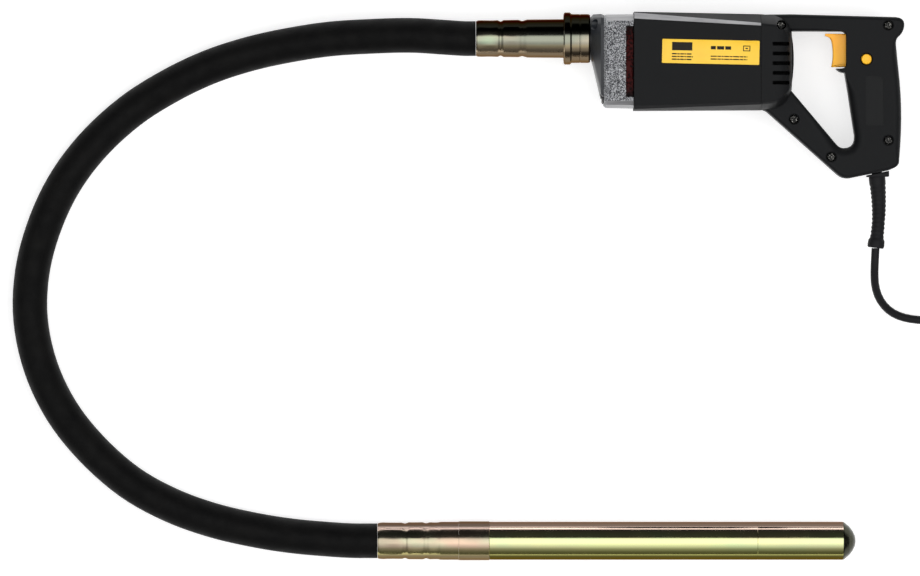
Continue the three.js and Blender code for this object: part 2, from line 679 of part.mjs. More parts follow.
// ---- Strain relief -------------------------------------------------------------------
function strainRelief() {
  const sleeve = [
    [0, 0], [7.6, 0], [7.8, 3], [7.6, 7], [6.2, 9], [6.1, 24], [7, 46], [7.6, 60.5], [7.6, 66], [4.6, 67],
    [4.6, 76], [0, 76],
  ];
  const points = sleeve.map(([radius, along]) => new THREE.Vector2(radius, along));
  const geometry = new THREE.LatheGeometry(points, SMALL_SIDES);
  geometry.translate(0, 35.5, 0);
  const position = geometry.attributes.position;
  // The sleeve bows a little towards the back of the grip.
  for (let i = 0; i < position.count; i += 1) {
    const along = position.getY(i) - 35.5;
    const bow = 2.4 * Math.sin((Math.PI * along) / 66) + (1.2 * along) / 66;
    position.setX(i, position.getX(i) + 383.8 + bow);
    position.setZ(i, position.getZ(i) + MOTOR.z);
  }
  const collar = box([375.6, 394], [109.8, 114.6], [MOTOR.z - 9, MOTOR.z + 9]);
  return join(solid(geometry), collar);
}
addSolid("strain_relief", strainRelief(), FINISH.rubber);

// ---- Mains cord, its stored coil and plug --------------------------------------------
const CORD_ROUTE = [
  [383.8, 35.2, 43], [383.3, 25, 42.4], [383, 14, 39], [383.6, 3, 32.5], [386.6, -8, 24.4],
  [392.6, -17.4, 16.4], [401, -24.4, 10], [411.6, -28.6, 6], [424, -30.6, 4.2], [438, -31, 3.9],
  [450, -31, 3.9], [461.5, -31, 3.9],
];
const asCurve = (points) => new THREE.CatmullRomCurve3(
  points.map(([x, y, z]) => new THREE.Vector3(x, y, z)),
  false,
  "centripetal",
);
add("mains_cord", tube(asCurve(CORD_ROUTE), 16, CORD_RADIUS, 0, 8), FINISH.rubber);

const coilProfile = [
  [COIL.inner, COIL.bottom], [COIL.outer, COIL.bottom], [COIL.outer, COIL.bottom + 8],
  [46.8, COIL.top], [38.2, COIL.top], [COIL.inner, COIL.bottom + 8], [COIL.inner, COIL.bottom],
];
addSolid("cord_coil", turnedZ(coilProfile, COIL, FINE_SIDES), FINISH.rubber);

function cordTie() {
  const inner = COIL.y + COIL.inner - GAP;
  const outer = COIL.y + COIL.outer + GAP;
  const band = box([COIL.x - 8, COIL.x + 8], [inner - 1.4, outer + 1.4], [0.1, COIL.top + GAP + 1.4]);
  const room = box([COIL.x - 9, COIL.x + 9], [inner - 1.4 + 1.2, outer], [1.4, COIL.top + GAP]);
  const clearance = turnedZ(
    [[0, 1.4], [COIL.outer + GAP, 1.4], [COIL.outer + GAP, COIL.top + GAP], [0, COIL.top + GAP]],
    COIL,
    FINE_SIDES,
  );
  const hole = turnedZ([[0, -1], [COIL.inner - 2.6, -1], [COIL.inner - 2.6, 30], [0, 30]], COIL, FINE_SIDES);
  return cut(band, room, clearance.subtract(hole));
}
addSolid("cord_tie", cordTie(), FINISH.rubber);

const PLUG = { x: 540, z: 17.2, start: 47.3 };
function plug() {
  const profile = [
    [0, 0], [4.6, 0], [6.6, 20], [8.6, 27], [12, 31], [17, 35], [17, 44], [16, 60], [0, 60],
  ];
  const points = profile.map(([radius, along]) => new THREE.Vector2(radius, along));
  const body = new THREE.LatheGeometry(points, ROUND_SIDES);
  body.translate(PLUG.x, PLUG.start, PLUG.z);
  const prongs = [-9.5, 9.5].map((offset) => {
    const prong = new THREE.CylinderGeometry(2.4, 2.4, 20, 8);
    prong.translate(PLUG.x + offset, PLUG.start + 69, PLUG.z);
    return solid(prong);
  });
  return join(solid(body), ...prongs);
}
addSolid("plug", plug(), FINISH.rubber);

// ---- Output spindle and coupling nut -------------------------------------------------
const spindleProfile = [
  [104, 0], [104, 6.2], [133, 6.2], [133, 8], [135.2, 8], [135.2, 6], [144.4, 6], [144.4, 6.8],
  [146, 6.8], [146, 4.3], [153, 4.3], [153, 0],
];
addSolid("output_spindle", turnedX(spindleProfile, OUTPUT, SMALL_SIDES), FINISH.bareSteel);

const NUT = { x0: 97.3, x1: 121.9 };
const nutProfile = [
  [NUT.x0, 18.2], [NUT.x0, 22.8], [NUT.x0 + 1.4, NUT_RADIUS], [NUT.x1, NUT_RADIUS],
  [NUT.x1, 20.5], [100.3, 20.5], [100.3, 18.2], [NUT.x0, 18.2],
];
addSolid("coupling_nut", turnedX(nutProfile, OUTPUT, FINE_SIDES), FINISH.zincYellow);

// ---- Hose ends -----------------------------------------------------------------------
// Each crimped ferrule is one turned piece: a lip, two crimp grooves and a smooth barrel.
const HOSE_START = 17.2;
const ferruleOuter = [
  [HOSE_START, 15.9], [26, 17], [37, 17], [39.8, 15.7], [42.6, 17.1], [56, 17.3], [59.5, 16.2],
  [64, 17.5], [100.6, 17.8], [100.6, 20.1], [104.6, 20.1],
];
const ferruleBore = [[104.6, 7.6], [HOSE_START, 7.6], [HOSE_START, 15.9]];
addSolid("hose_ferrule", turnedX([...ferruleOuter, ...ferruleBore], OUTPUT, FINE_SIDES), FINISH.zincYellow);

const POKER_HOSE_END = -73.2;
const pokerFerruleProfile = [
  [POKER_HOSE_END, 7.6], [POKER_HOSE_END, 16], [-68, 16.8], [-51, 16.8], [-48, 15.9], [-44.6, 17.1],
  [-32, 17.2], [-28.6, 16.2], [-25, 17.2], [-17, 17], [-15.6, 17.5], [1.4, 17.5], [1.4, 7.6],
  [POKER_HOSE_END, 7.6],
];
addSolid("poker_ferrule", turnedX(pokerFerruleProfile, POKER, FINE_SIDES), FINISH.zincYellow);

addSolid("core_drive_end", turnedX(rod(18, 103.7, 5), OUTPUT, 12), FINISH.bareSteel);
addSolid("core_poker_end", turnedX(rod(-72.4, 33.6, 5), POKER, 12), FINISH.bareSteel);

// The hose's centreline, from the machine's ferrule round the bend to the poker's ferrule.
const HOSE_ROUTE = [
  [16.9, 227.6, 43], [7, 227.6, 43], [-12, 228.8, 42.8], [-43, 230.6, 41.2], [-80, 229.7, 38],
  [-117, 227.4, 33.4],
  [-154, 221.9, 28.2], [-190, 214.1, 23.4], [-227, 202.2, 19.4], [-264, 184.7, 17], [-301, 161.2, 16.2],
  [-337, 127.8, 16.2], [-363, 92, 16.2], [-381, 52, 16.2], [-391, 12, 16.2], [-392.4, -30, 16.2],
  [-383, -74, 16.2], [-364, -114, 16.2], [-337, -148.3, 16.2], [-301, -180, 16.2], [-264, -200.6, 16.2],
  [-227, -214.2, 16.2], [-190, -223.1, 16.3], [-154, -229, 16.8], [-117, -232.4, 17.6], [-96, -233.6, 17.95],
  [-82, -233.7, 17.95], [-73.5, -233.7, 17.95],
];
const hosePath = asCurve(HOSE_ROUTE);
const HOSE_STEPS = 25;
add("hose", tube(hosePath, HOSE_STEPS, HOSE_RADIUS, 9.6, 12), FINISH.rubber);
add("hose_liner", tube(hosePath, HOSE_STEPS, LINER_OUTER, LINER_INNER, 8, 6), FINISH.springSteel);
add("flexible_core", tube(hosePath, HOSE_STEPS, CORE_RADIUS, 0, 6), FINISH.springSteel);

// ---- Poker ---------------------------------------------------------------------------
const adapterProfile = [
  [1.7, 7.6], [1.7, 17.2], [2.6, ADAPTER_RADIUS], [28.4, ADAPTER_RADIUS], [29.2, 17.2], [29.2, 7.6],
  [1.7, 7.6],
];
addSolid("poker_adapter", turnedX(adapterProfile, POKER, FINE_SIDES), FINISH.zincYellow);

const tubeProfile = ring(29.5, 275.9, 14.5, HEAD_RADIUS);
addSolid("poker_tube", turnedX(tubeProfile, POKER, FINE_SIDES), FINISH.zincYellow);

const capProfile = [
  [276.2, 0], [276.2, HEAD_RADIUS], [355.4, HEAD_RADIUS], [360.6, 12.8], [363.8, 8.8], [365.6, 4.6],
  [366.2, 0],
];
addSolid("tip_cap", turnedX(capProfile, POKER, FINE_SIDES), FINISH.zincYellow);

const POKER_BEARING = { radius: 14.2, bore: 5.6 };
addSolid("poker_bearing_rear", bearing(40, 51, POKER_BEARING, POKER), FINISH.bareSteel);
addSolid("poker_bearing_front", bearing(254, 265, POKER_BEARING, POKER), FINISH.bareSteel);

const rotorProfile = [[34, 0], [34, 5.3], [268, 5.3], [268, 0]];
addSolid("rotor_shaft", turnedX(rotorProfile, POKER, SMALL_SIDES), FINISH.bareSteel);

function eccentricWeight() {
  const body = turnedX(ring(62, 246, 5.6, 12.8), POKER, 24);
  const lightSide = box([60, 248], [POKER.y + 0.5, POKER.y + 20], [POKER.z - 20, POKER.z + 20]);
  return cut(body, lightSide);
}
addSolid("eccentric_weight", eccentricWeight(), FINISH.bareSteel);

export default assembly;
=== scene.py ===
# %% [markdown]
# # A concrete vibrator, built piece by piece
# The tool has three parts: a drive machine with a D handle, a rubber hose with a flexible core that
# carries the turning motion, and a steel poker that is held in wet concrete. It lies on its side on
# a pale floor. Each lesson cell makes one real piece, and says how that piece is made in a factory
# and which Blender technique suits it.
#
# The measurements are millimetres on a drawing of the tool; `at()` turns them into metres in the
# shared frame that the mechanical model also uses.

# %% Open the shared frame
import json
import math

import bpy
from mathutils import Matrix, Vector


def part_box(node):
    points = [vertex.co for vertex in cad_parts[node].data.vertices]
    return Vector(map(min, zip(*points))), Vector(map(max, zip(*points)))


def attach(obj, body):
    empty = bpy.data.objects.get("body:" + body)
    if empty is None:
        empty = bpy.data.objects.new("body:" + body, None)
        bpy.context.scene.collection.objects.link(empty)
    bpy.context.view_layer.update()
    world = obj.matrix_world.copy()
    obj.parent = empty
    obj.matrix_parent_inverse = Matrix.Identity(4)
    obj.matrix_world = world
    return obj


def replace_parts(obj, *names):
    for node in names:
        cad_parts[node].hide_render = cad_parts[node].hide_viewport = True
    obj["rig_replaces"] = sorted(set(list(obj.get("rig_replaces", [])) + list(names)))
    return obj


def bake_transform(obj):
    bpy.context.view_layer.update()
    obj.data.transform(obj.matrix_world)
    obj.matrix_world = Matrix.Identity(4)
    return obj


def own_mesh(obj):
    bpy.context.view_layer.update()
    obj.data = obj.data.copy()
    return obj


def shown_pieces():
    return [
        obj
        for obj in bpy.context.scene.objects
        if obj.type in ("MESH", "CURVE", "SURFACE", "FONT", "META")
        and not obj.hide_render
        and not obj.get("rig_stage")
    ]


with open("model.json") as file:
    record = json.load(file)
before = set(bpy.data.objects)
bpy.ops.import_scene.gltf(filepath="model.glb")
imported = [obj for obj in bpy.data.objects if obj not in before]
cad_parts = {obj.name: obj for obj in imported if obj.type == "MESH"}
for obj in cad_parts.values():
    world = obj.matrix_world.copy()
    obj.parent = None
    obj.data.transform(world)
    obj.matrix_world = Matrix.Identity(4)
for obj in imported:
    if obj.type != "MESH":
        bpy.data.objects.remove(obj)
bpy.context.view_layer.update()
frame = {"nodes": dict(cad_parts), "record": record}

MM = 0.001
HOUSING_FRONT = 161.8
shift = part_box("motor_housing")[0].x - HOUSING_FRONT * MM
MOTOR_Y, MOTOR_Z = 206.5, 43.0
OUTPUT_Y = 227.6
POKER_Y, POKER_Z = -233.7, 17.95
body_of_node = {node: body for body, nodes in frame["record"]["behaviour"]["bodies"].items()
                for node in nodes}
slot_of_node = {part["node"]: part["material_slot"] for part in frame["record"]["subparts"]}


def at(x, y, z):
    """A point of the drawing, in the frame's metres."""
    return Vector((x * MM + shift, y * MM, z * MM))


print("nodes in the frame:", len(frame["nodes"]), "| drawing shift in mm:", round(shift / MM, 2))

# %% [markdown]
# ## The camera
# A tool this flat reads best from straight above. A long lens from far away keeps the hose's loop
# and the tall handle free of perspective, so lengths can be compared across the whole tool.

# %% Camera
scene = bpy.context.scene
camera_data = bpy.data.cameras.new("camera")
camera_data.lens = 511.2
camera_data.sensor_width = 36
camera_data.clip_end = 40
camera = bpy.data.objects.new("camera", camera_data)
camera.location = (-0.16587, -0.00129, 12.03)
scene.collection.objects.link(camera)
scene.camera = camera
scene.view_settings.view_transform = "Standard"
print("camera height in metres:", camera.location.z)

# %% [markdown]
# ## A small language for materials
# A procedural material is arithmetic on patterns. Wiring every Math node by hand hides that, so a
# `Wire` wraps one output socket and lets ordinary `+ - * /` make the nodes. Numbers use Math nodes,
# and colours and vectors use Vector Math nodes. The reflected operators, such as `__rsub__`, are
# for a plain number on the left, as in `1 - wire`.

# %% Wires
FLAT_KINDS = ("VECTOR", "RGBA")


class Wire:
    """One output socket of a node, usable in arithmetic."""

    def __init__(self, paint, socket):
        self.paint, self.socket = paint, socket

    def _join(self, operation, left, right):
        pair = (left, right)
        flat = any(isinstance(v, Wire) and v.socket.type in FLAT_KINDS for v in pair)
        kind = "ShaderNodeVectorMath" if flat else "ShaderNodeMath"
        return self.paint.node(kind, {"operation": operation}, {0: left, 1: right})

    def __add__(self, other):
        return self._join("ADD", self, other)

    def __radd__(self, other):
        return self._join("ADD", other, self)

    def __sub__(self, other):
        return self._join("SUBTRACT", self, other)

    def __rsub__(self, other):
        return self._join("SUBTRACT", other, self)

    def __mul__(self, other):
        return self._join("MULTIPLY", self, other)

    def __rmul__(self, other):
        return self._join("MULTIPLY", other, self)

    def __truediv__(self, other):
        return self._join("DIVIDE", self, other)

    def __rtruediv__(self, other):
        return self._join("DIVIDE", other, self)


print("operators on a wire:", [name for name in vars(Wire) if name.startswith("__") and "add" in name])

# %% [markdown]
# `Paint` holds one node tree. Its method `node` adds any node at all; the others are names for the
# few patterns that every finish here is made of. `place` measures in metres on the piece itself,
# so a grain of half a millimetre is half a millimetre on a big piece and on a small one.

# %% Paints
class Paint:
    """One node tree, for a material or for the world."""

    def __init__(self, tree):
        self.tree = tree

    def node(self, kind, settings=None, inputs=None, out=0):
        """Adds a node: its type, its settings, then the values and wires on its sockets."""
        made = self.tree.nodes.new(kind)
        for name, value in (settings or {}).items():
            setattr(made, name, value)
        for key, value in (inputs or {}).items():
            target = made.inputs[key]
            if isinstance(value, Wire):
                self.tree.links.new(value.socket, target)
            elif target.type in FLAT_KINDS:
                parts = list(value) if hasattr(value, "__len__") else [value] * 3
                target.default_value = (parts + [1.0])[:len(target.default_value)]
            else:
                target.default_value = value
        return Wire(self, made.outputs[out])

    def place(self, stretch=(1, 1, 1)):
        """Where a point is on the piece, in metres, so a pattern keeps its real size."""
        return self.node("ShaderNodeTexCoord", out="Object") * stretch

    def noise(self, scale, detail=2.0, stretch=(1, 1, 1)):
        sockets = {"Vector": self.place(stretch), "Scale": scale, "Detail": detail}
        return self.node("ShaderNodeTexNoise", {}, sockets)

    def spots(self, scale, stretch=(1, 1, 1)):
        sockets = {"Vector": self.place(stretch), "Scale": scale}
        return self.node("ShaderNodeTexVoronoi", {}, sockets)

    def span(self, value, low, high, to_low=0.0, to_high=1.0):
        """Stretches the part of a value between low and high."""
        sockets = {"Value": value, "From Min": low, "From Max": high, "To Min": to_low, "To Max": to_high}
        return self.node("ShaderNodeMapRange", {"clamp": True}, sockets)

    def mix(self, share, first, second):
        return self.node("ShaderNodeMix", {"data_type": "RGBA"}, {0: share, 6: first, 7: second}, out=2)

    def bump(self, height, depth):
        """Turns a height pattern into tilted light, depth in metres."""
        return self.node("ShaderNodeBump", {}, {"Height": height, "Distance": depth, "Strength": 1.0})


print("patterns a paint knows:", [name for name in vars(Paint) if not name.startswith("_")])

# %% [markdown]
# A finish is a function that gets a paint and gives back the surface inputs by name. `material`
# links what varies and sets what doesn't, so a finish reads like a short list of properties.

# %% Materials from finishes
def material(name, fill):
    """Makes a material whose surface inputs come from fill(paint)."""
    made = bpy.data.materials.new(name)
    made.use_nodes = True
    paint = Paint(made.node_tree)
    shader = next(n for n in made.node_tree.nodes if n.type == "BSDF_PRINCIPLED")
    for key, value in fill(paint).items():
        if isinstance(value, Wire):
            made.node_tree.links.new(value.socket, shader.inputs[key])
        elif hasattr(value, "__len__"):
            shader.inputs[key].default_value = (*value, 1.0)
        else:
            shader.inputs[key].default_value = value
    return made


print("materials so far:", len(bpy.data.materials))

# %% [markdown]
# ## Moulded plastic
# The machine's mouldings are glass-filled nylon: nearly black, with a fine spark-eroded grain that
# breaks the highlight up. The grain is a noise of about half a millimetre, fed to Bump only, and
# a slower noise changes the roughness where hands have polished the surface. `finish` makes the
# material for one slot of the record and keeps it for every piece that names that slot.

# %% Moulded plastics
finishes = {}


def finish(slot, fill):
    finishes[slot] = material(slot, fill)
    return finishes[slot]


def grained(base, rough, depth=0.00004, scale=1900, shine=0.12):
    """A moulded plastic with a fine grain."""
    def fill(p):
        slow = p.noise(23, 3)
        return {
            "Base Color": p.mix(p.span(slow, 0.35, 0.65), base, tuple(min(1.0, c * 1.25) for c in base)),
            "Roughness": p.span(slow, 0.3, 0.7, rough - 0.05, rough + 0.06),
            "Specular IOR Level": shine,
            "Normal": p.bump(p.noise(scale, 2), depth),
        }
    return fill


finish("black_plastic", grained((0.0068, 0.0072, 0.0078), 0.46))
finish("inner_plastic", grained((0.03, 0.03, 0.033), 0.5))
finish("orange_plastic", grained((1.0, 0.42, 0.018), 0.36, 0.00002, shine=0.4))
finish("cord_rubber", grained((0.010, 0.010, 0.011), 0.48, 0.00005, 1200))
print("nodes in the black plastic:", len(finishes["black_plastic"].node_tree.nodes))

# %% [markdown]
# The housing's upper chamfer gets a painted highlight: a grey shine in its colour stands in for the
# bright light that the chamfer mirrors. It is the same plastic, so it is a second material on the same
# moulding and not a separate piece.

# %% Chamfer with a painted highlight
def painted_highlight(p):
    """A painted highlight: a grey shine in the colour of chamfers that mirror a bright light."""
    sheen_noise = p.noise(160, 3, (0.2, 1, 1))
    return {
        "Base Color": p.mix(p.span(sheen_noise, 0.35, 0.7), (0.26, 0.26, 0.27), (0.40, 0.40, 0.41)),
        "Metallic": 0.5,
        "Roughness": p.span(sheen_noise, 0.3, 0.7, 0.28, 0.36),
        "Normal": p.bump(p.noise(1900, 2), 0.00002),
    }


# The painted highlight material, for the chamfers of the housing and of the gear case.
burnished_edge = material("burnished_edge", painted_highlight)
print("rubbed edge nodes:", len(burnished_edge.node_tree.nodes))

# %% [markdown]
# ## Rubber and strap
# The hose is duller than the plastic, with faint fabric marks from the wrapping that it was cured
# in. The strap round the stored lead is hook and loop tape. Round loops packed side by side are
# what a Voronoi pattern draws, so its distance goes to both the colour and the bump.

# %% Hose rubber and hook and loop
def hose_rubber(p):
    """Cured rubber with a faint weave and a dusty bloom."""
    weave = p.noise(420, 2, (1, 1, 1))
    return {
        "Base Color": p.mix(p.span(p.noise(60, 4), 0.4, 0.65), (0.0030, 0.0030, 0.0031),
                            (0.0048, 0.0047, 0.0046)),
        "Roughness": p.span(p.noise(90, 3), 0.35, 0.65, 0.5, 0.62),
        "Specular IOR Level": 0.09,
        "Normal": p.bump(weave + 0.5 * p.noise(1500, 2), 0.00012),
    }


def woven(p):
    """A hook and loop strap: small round loops packed side by side, with painted shade in the gaps between
    them.
    """
    loops = p.spots(900)
    return {
        "Base Color": p.mix(p.span(loops, 0.1, 0.6), (0.05, 0.05, 0.055), (0.012, 0.012, 0.014)),
        "Roughness": 0.85,
        "Normal": p.bump(loops, 0.0003),
    }


finish("rubber", hose_rubber)
finish("tie", woven)
print("soft finishes:", [name for name in finishes if name in ("rubber", "tie")])

# %% [markdown]
# ## Grille and brushes
# The fan baffle is red plastic with rows of cooling pits, and its colour is darker in the pits as
# painted shade. It sits deep behind the housing's edge, so its colour also turns black towards both
# ends as painted shade, with only the middle red. The brushes are pressed carbon: a grainy block
# with no gloss at all.

# %% Grille and carbon
def red_grille(p):
    """The fan baffle: dark red with small cooling pits, and painted shade in the pits and towards both ends.
    """
    pits = p.span(p.spots(430), 0.25, 0.6)
    high = p.node("ShaderNodeSeparateXYZ", {}, {0: p.place()}, out="Y") - MOTOR_Y * MM
    lit = p.mix(pits, (0.006, 0.001, 0.001), (0.050, 0.002, 0.002))
    return {
        # Painted shade: black towards both ends, red only in the middle.
        "Base Color": p.mix(p.span(high * high, 0.0004, 0.0011), lit, (0.002, 0.002, 0.002)),
        "Roughness": 0.5,
        "Specular IOR Level": 0.15,
        "Normal": p.bump(pits, 0.0004),
    }


def pressed_carbon(p):
    grains = p.spots(1600)
    return {
        "Base Color": p.mix(grains, (0.018, 0.018, 0.018), (0.06, 0.06, 0.06)),
        "Roughness": p.span(grains, 0.0, 1.0, 0.45, 0.7),
    }


finish("red_plastic", red_grille)
finish("carbon", pressed_carbon)
print("finishes so far:", len(finishes))

# %% [markdown]
# ## Label film and ink
# A rating label is polyester film with a printed face. Film is smooth, so the only change across
# it is a slow one, in the ink's density and in the shine. The ink is dull beside the film.

# %% Label materials
def printed_film(p):
    """Yellow label film, faintly uneven in its ink and its shine."""
    slow = p.noise(55, 3)
    return {
        "Base Color": p.mix(p.span(slow, 0.3, 0.7), (0.93, 0.56, 0.026), (0.98, 0.62, 0.040)),
        "Roughness": p.span(slow, 0.3, 0.7, 0.34, 0.42),
        "Normal": p.bump(p.noise(300, 2), 0.00002),
    }


def printed_ink(p):
    slow = p.noise(240, 3)
    return {
        "Base Color": p.mix(slow, (0.006, 0.006, 0.005), (0.020, 0.017, 0.010)),
        "Roughness": p.span(slow, 0.3, 0.7, 0.4, 0.55),
        "Specular IOR Level": 0.2,
    }


finish("label", printed_film)
ink = material("printed_ink", printed_ink)
print("label nodes:", len(finishes["label"].node_tree.nodes))

# %% [markdown]
# ## Hammered paint
# The gear case is cast aluminium under hammered paint. The paint pulls into cells about a
# millimetre across. A thresholded noise makes a speckle of dark and bright paint, and the same noise
# drives the bump, so the dark speckle is also painted shade in the valleys and the bright speckle a
# painted highlight on the tops.

# %% Hammered casting
def hammered(p):
    """Speckled paint; the dark speckle is also painted shade in the valleys, the bright a painted highlight
    on the tops.
    """
    warp = p.noise(350, 2)
    speckle_and_shade = p.span(p.noise(1150, 2.5), 0.42, 0.58)
    cells = p.span(p.spots(620), 0.15, 0.75)
    return {
        "Base Color": p.mix(speckle_and_shade, (0.030, 0.031, 0.036), (0.50, 0.51, 0.53)),
        "Metallic": 0.55,
        "Roughness": p.span(warp, 0.3, 0.7, 0.30, 0.46),
        "Normal": p.bump(speckle_and_shade * 0.6 + cells * 0.5, 0.00035),
    }


finish("hammered_casting", hammered)
print("hammered paint nodes:", len(finishes["hammered_casting"].node_tree.nodes))

# %% [markdown]
# ## Yellow zinc
# The hose ends and the poker are turned steel, zinc plated and then passivated in chromate. That
# film is thin enough to colour by interference, so yellow drifts to pink and green in long soft
# patches. Bands across the bar are painted reflection and painted shade: pink and a dark brown edge
# above the axis, olive and a dark edge below. The tool marks are a noise squeezed along the axis, so
# they read as fine rings round the bar. The last setting adds more of it, as on the coupling nut: a
# black band of painted shade above the axis and brown bands of painted reflection below.

# %% Zinc materials
def passivated(axis_y, radius, rough, gold=(0.74, 0.77, 0.37), patchy=0.35, painted_bands=0.0):
    """Yellow zinc on a bar along X, gold facing up, with bands of painted reflection and painted shade across
    it.
    """
    def fill(p):
        high = p.node("ShaderNodeSeparateXYZ", {}, {0: p.place()}, out="Y")
        flank = (high - axis_y) / radius
        patches = p.span(p.noise(19, 3, (0.5, 1.8, 1.8)), 0.42, 0.64)
        spots = p.span(p.noise(31, 2, (0.8, 1.7, 1.7)), 0.50, 0.68)
        film = p.mix(patches * patchy, gold, (0.74, 0.52, 0.38))
        film = p.mix(spots * 0.30, film, (0.42, 0.66, 0.40))
        # Painted reflection and painted shade, in bands by the place across the bar.
        film = p.mix(p.span(flank * -1, 0.3, 0.6, 0.0, 0.85), film, (0.50, 0.48, 0.12))
        film = p.mix(p.span(flank, 0.42, 0.62, 0.0, 0.9), film, (0.86, 0.63, 0.54))
        film = p.mix(p.span(flank, 0.70, 0.78), film, (0.17, 0.125, 0.10))
        film = p.mix(p.span(flank * -1, 0.68, 0.78), film, (0.085, 0.078, 0.026))
        # More painted bands, as strong as the last setting: shade above the axis, reflection below.
        film = p.mix(p.span(flank, 0.05, 0.40, 0.0, painted_bands), film, (0.010, 0.010, 0.007))
        film = p.mix(p.span(flank * -1, 0.25, 0.50, 0.0, painted_bands), film, (0.48, 0.38, 0.25))
        film = p.mix(p.span(flank * -1, 0.62, 0.72, 0.0, painted_bands), film, (0.17, 0.13, 0.085))
        rings = p.noise(900, 2, (1, 0.03, 0.03))
        return {
            "Base Color": film,
            "Metallic": 1.0,
            "Specular Tint": (0.55, 0.42, 0.34),
            "Roughness": p.span(p.noise(70, 3), 0.3, 0.7, rough - 0.03, rough + 0.05),
            "Normal": p.bump(rings, 0.000008),
        }
    return fill


finish("zinc_yellow", passivated(POKER_Y * MM, 0.0175, 0.10))
machine_zinc = material("machine_zinc", passivated(OUTPUT_Y * MM, 0.0185, 0.14, (0.27, 0.28, 0.22), painted_bands=1.0))
ferrule_zinc = material("ferrule_zinc", passivated(POKER_Y * MM, 0.0175, 0.17, (0.40, 0.36, 0.26), 0.8, 0.3))
print("zinc nodes:", len(machine_zinc.node_tree.nodes))

# %% [markdown]
# ## Ground steel and dark screws
# Bearings, shafts and springs are ground, and the lines of the wheel run round the part. The
# screws are blackened in oil, with bright specks in the colour as painted glints.

# %% Bright and blackened steel
def ground(base, rough, scale=700, along=(1, 0.05, 0.05)):
    """Bright metal with fine grinding lines round its axis."""
    def fill(p):
        lines = p.noise(scale, 3, along)
        return {
            "Base Color": p.mix(p.span(p.noise(40, 3), 0.3, 0.7), base, tuple(c * 0.8 for c in base)),
            "Metallic": 1.0,
            "Roughness": p.span(lines, 0.3, 0.7, rough - 0.06, rough + 0.08),
            "Normal": p.bump(lines, 0.00003),
        }
    return fill


def blackened(p):
    """Oil-blackened steel with bright specks as painted glints."""
    painted_glints = p.span(p.noise(1100, 2.5), 0.56, 0.64)
    return {
        "Base Color": p.mix(painted_glints, (0.012, 0.012, 0.012), (0.42, 0.41, 0.38)),
        "Metallic": 0.9,
        "Roughness": 0.27,
        "Normal": p.bump(painted_glints, 0.00008),
    }


finish("aluminium_plate", ground((0.62, 0.63, 0.65), 0.32))
finish("steel", ground((0.62, 0.62, 0.63), 0.24))
finish("spring_steel", ground((0.6, 0.6, 0.62), 0.22))
finish("dark_screw", blackened)
print("finishes so far:", len(finishes))

# %% [markdown]
# ## Laminations and windings
# A motor core is a stack of sheets and a winding is many wires laid side by side. Both are stripes
# at a real pitch, so a Wave texture draws them, with a little distortion for the hand-laid wire.

# %% Motor materials
def stacked_sheets(p):
    """Half-millimetre steel sheets pressed in a stack along the motor's axis."""
    sheets = p.node("ShaderNodeTexWave", {"wave_type": "BANDS", "bands_direction": "X"},
                    {"Vector": p.place(), "Scale": 320, "Distortion": 0.3}, out=1)
    return {
        "Base Color": p.mix(sheets, (0.16, 0.17, 0.18), (0.42, 0.43, 0.45)),
        "Metallic": 1.0,
        "Roughness": 0.45,
        "Normal": p.bump(sheets, 0.0002),
    }


def wound_copper(p):
    """Enamelled wire laid side by side, with painted shade in the grooves and a painted highlight along each
    wire.
    """
    wires = p.node("ShaderNodeTexWave", {"wave_type": "BANDS", "bands_direction": "Y"},
                   {"Vector": p.place(), "Scale": 260, "Distortion": 1.5, "Detail": 2}, out=1)
    return {
        "Base Color": p.mix(wires, (0.30, 0.09, 0.03), (0.80, 0.36, 0.17)),
        "Metallic": 0.9,
        "Roughness": p.span(wires, 0, 1, 0.42, 0.25),
        "Normal": p.bump(wires, 0.0003),
    }


finish("laminations", stacked_sheets)
finish("copper", wound_copper)

# %% [markdown]
# ## Making meshes from drawings
# Almost every piece of this tool comes from one of four processes, and each has its own helper:
# `turned` is a lathe, `slab` is a flat moulding with rounded rims, `skin` joins rings that change
# from one end to the other, and `tube` follows a line. They all end in `mesh_piece`, which
# checks that the faces look outwards and keeps the edges crisp where the shape turns sharply.

# %% From points to a shaded piece
def settle(piece):
    """Applies a piece's modifiers to its mesh."""
    bpy.context.view_layer.update()
    shown = piece.evaluated_get(bpy.context.evaluated_depsgraph_get())
    mesh = bpy.data.meshes.new_from_object(shown)
    piece.modifiers.clear()
    piece.data = mesh
    return piece


def shade(piece, sharp=35):
    """Smooth shading, kept crisp where faces meet at more than the sharp angle."""
    piece.data.shade_smooth()
    piece.data.set_sharp_from_angle(angle=math.radians(sharp))
    return piece


def outward(piece):
    """Turns the faces so that the enclosed volume is positive."""
    volume = 0.0
    mesh = piece.data
    mesh.calc_loop_triangles()
    for triangle in mesh.loop_triangles:
        a, b, c = (mesh.vertices[i].co for i in triangle.vertices)
        volume += a.dot(b.cross(c))
    if volume < 0:
        mesh.flip_normals()
    return piece


def mesh_piece(name, points, faces, sharp=35):
    """A mesh object from points in drawing millimetres."""
    mesh = bpy.data.meshes.new(name)
    mesh.from_pydata([at(*p) for p in points], [], faces)
    piece = bpy.data.objects.new(name, mesh)
    scene.collection.objects.link(piece)
    return shade(outward(piece), sharp)


print("one drawing unit in metres:", round((at(1, 0, 0) - at(0, 0, 0)).length, 6))

# %% [markdown]
# `skin` is the base of all four. Rings with the same number of points are joined by quads, and the
# two ends are closed by one face each. `eased` rounds the corners of any drawn line, because no
# moulded, turned or cast part has a truly sharp one.

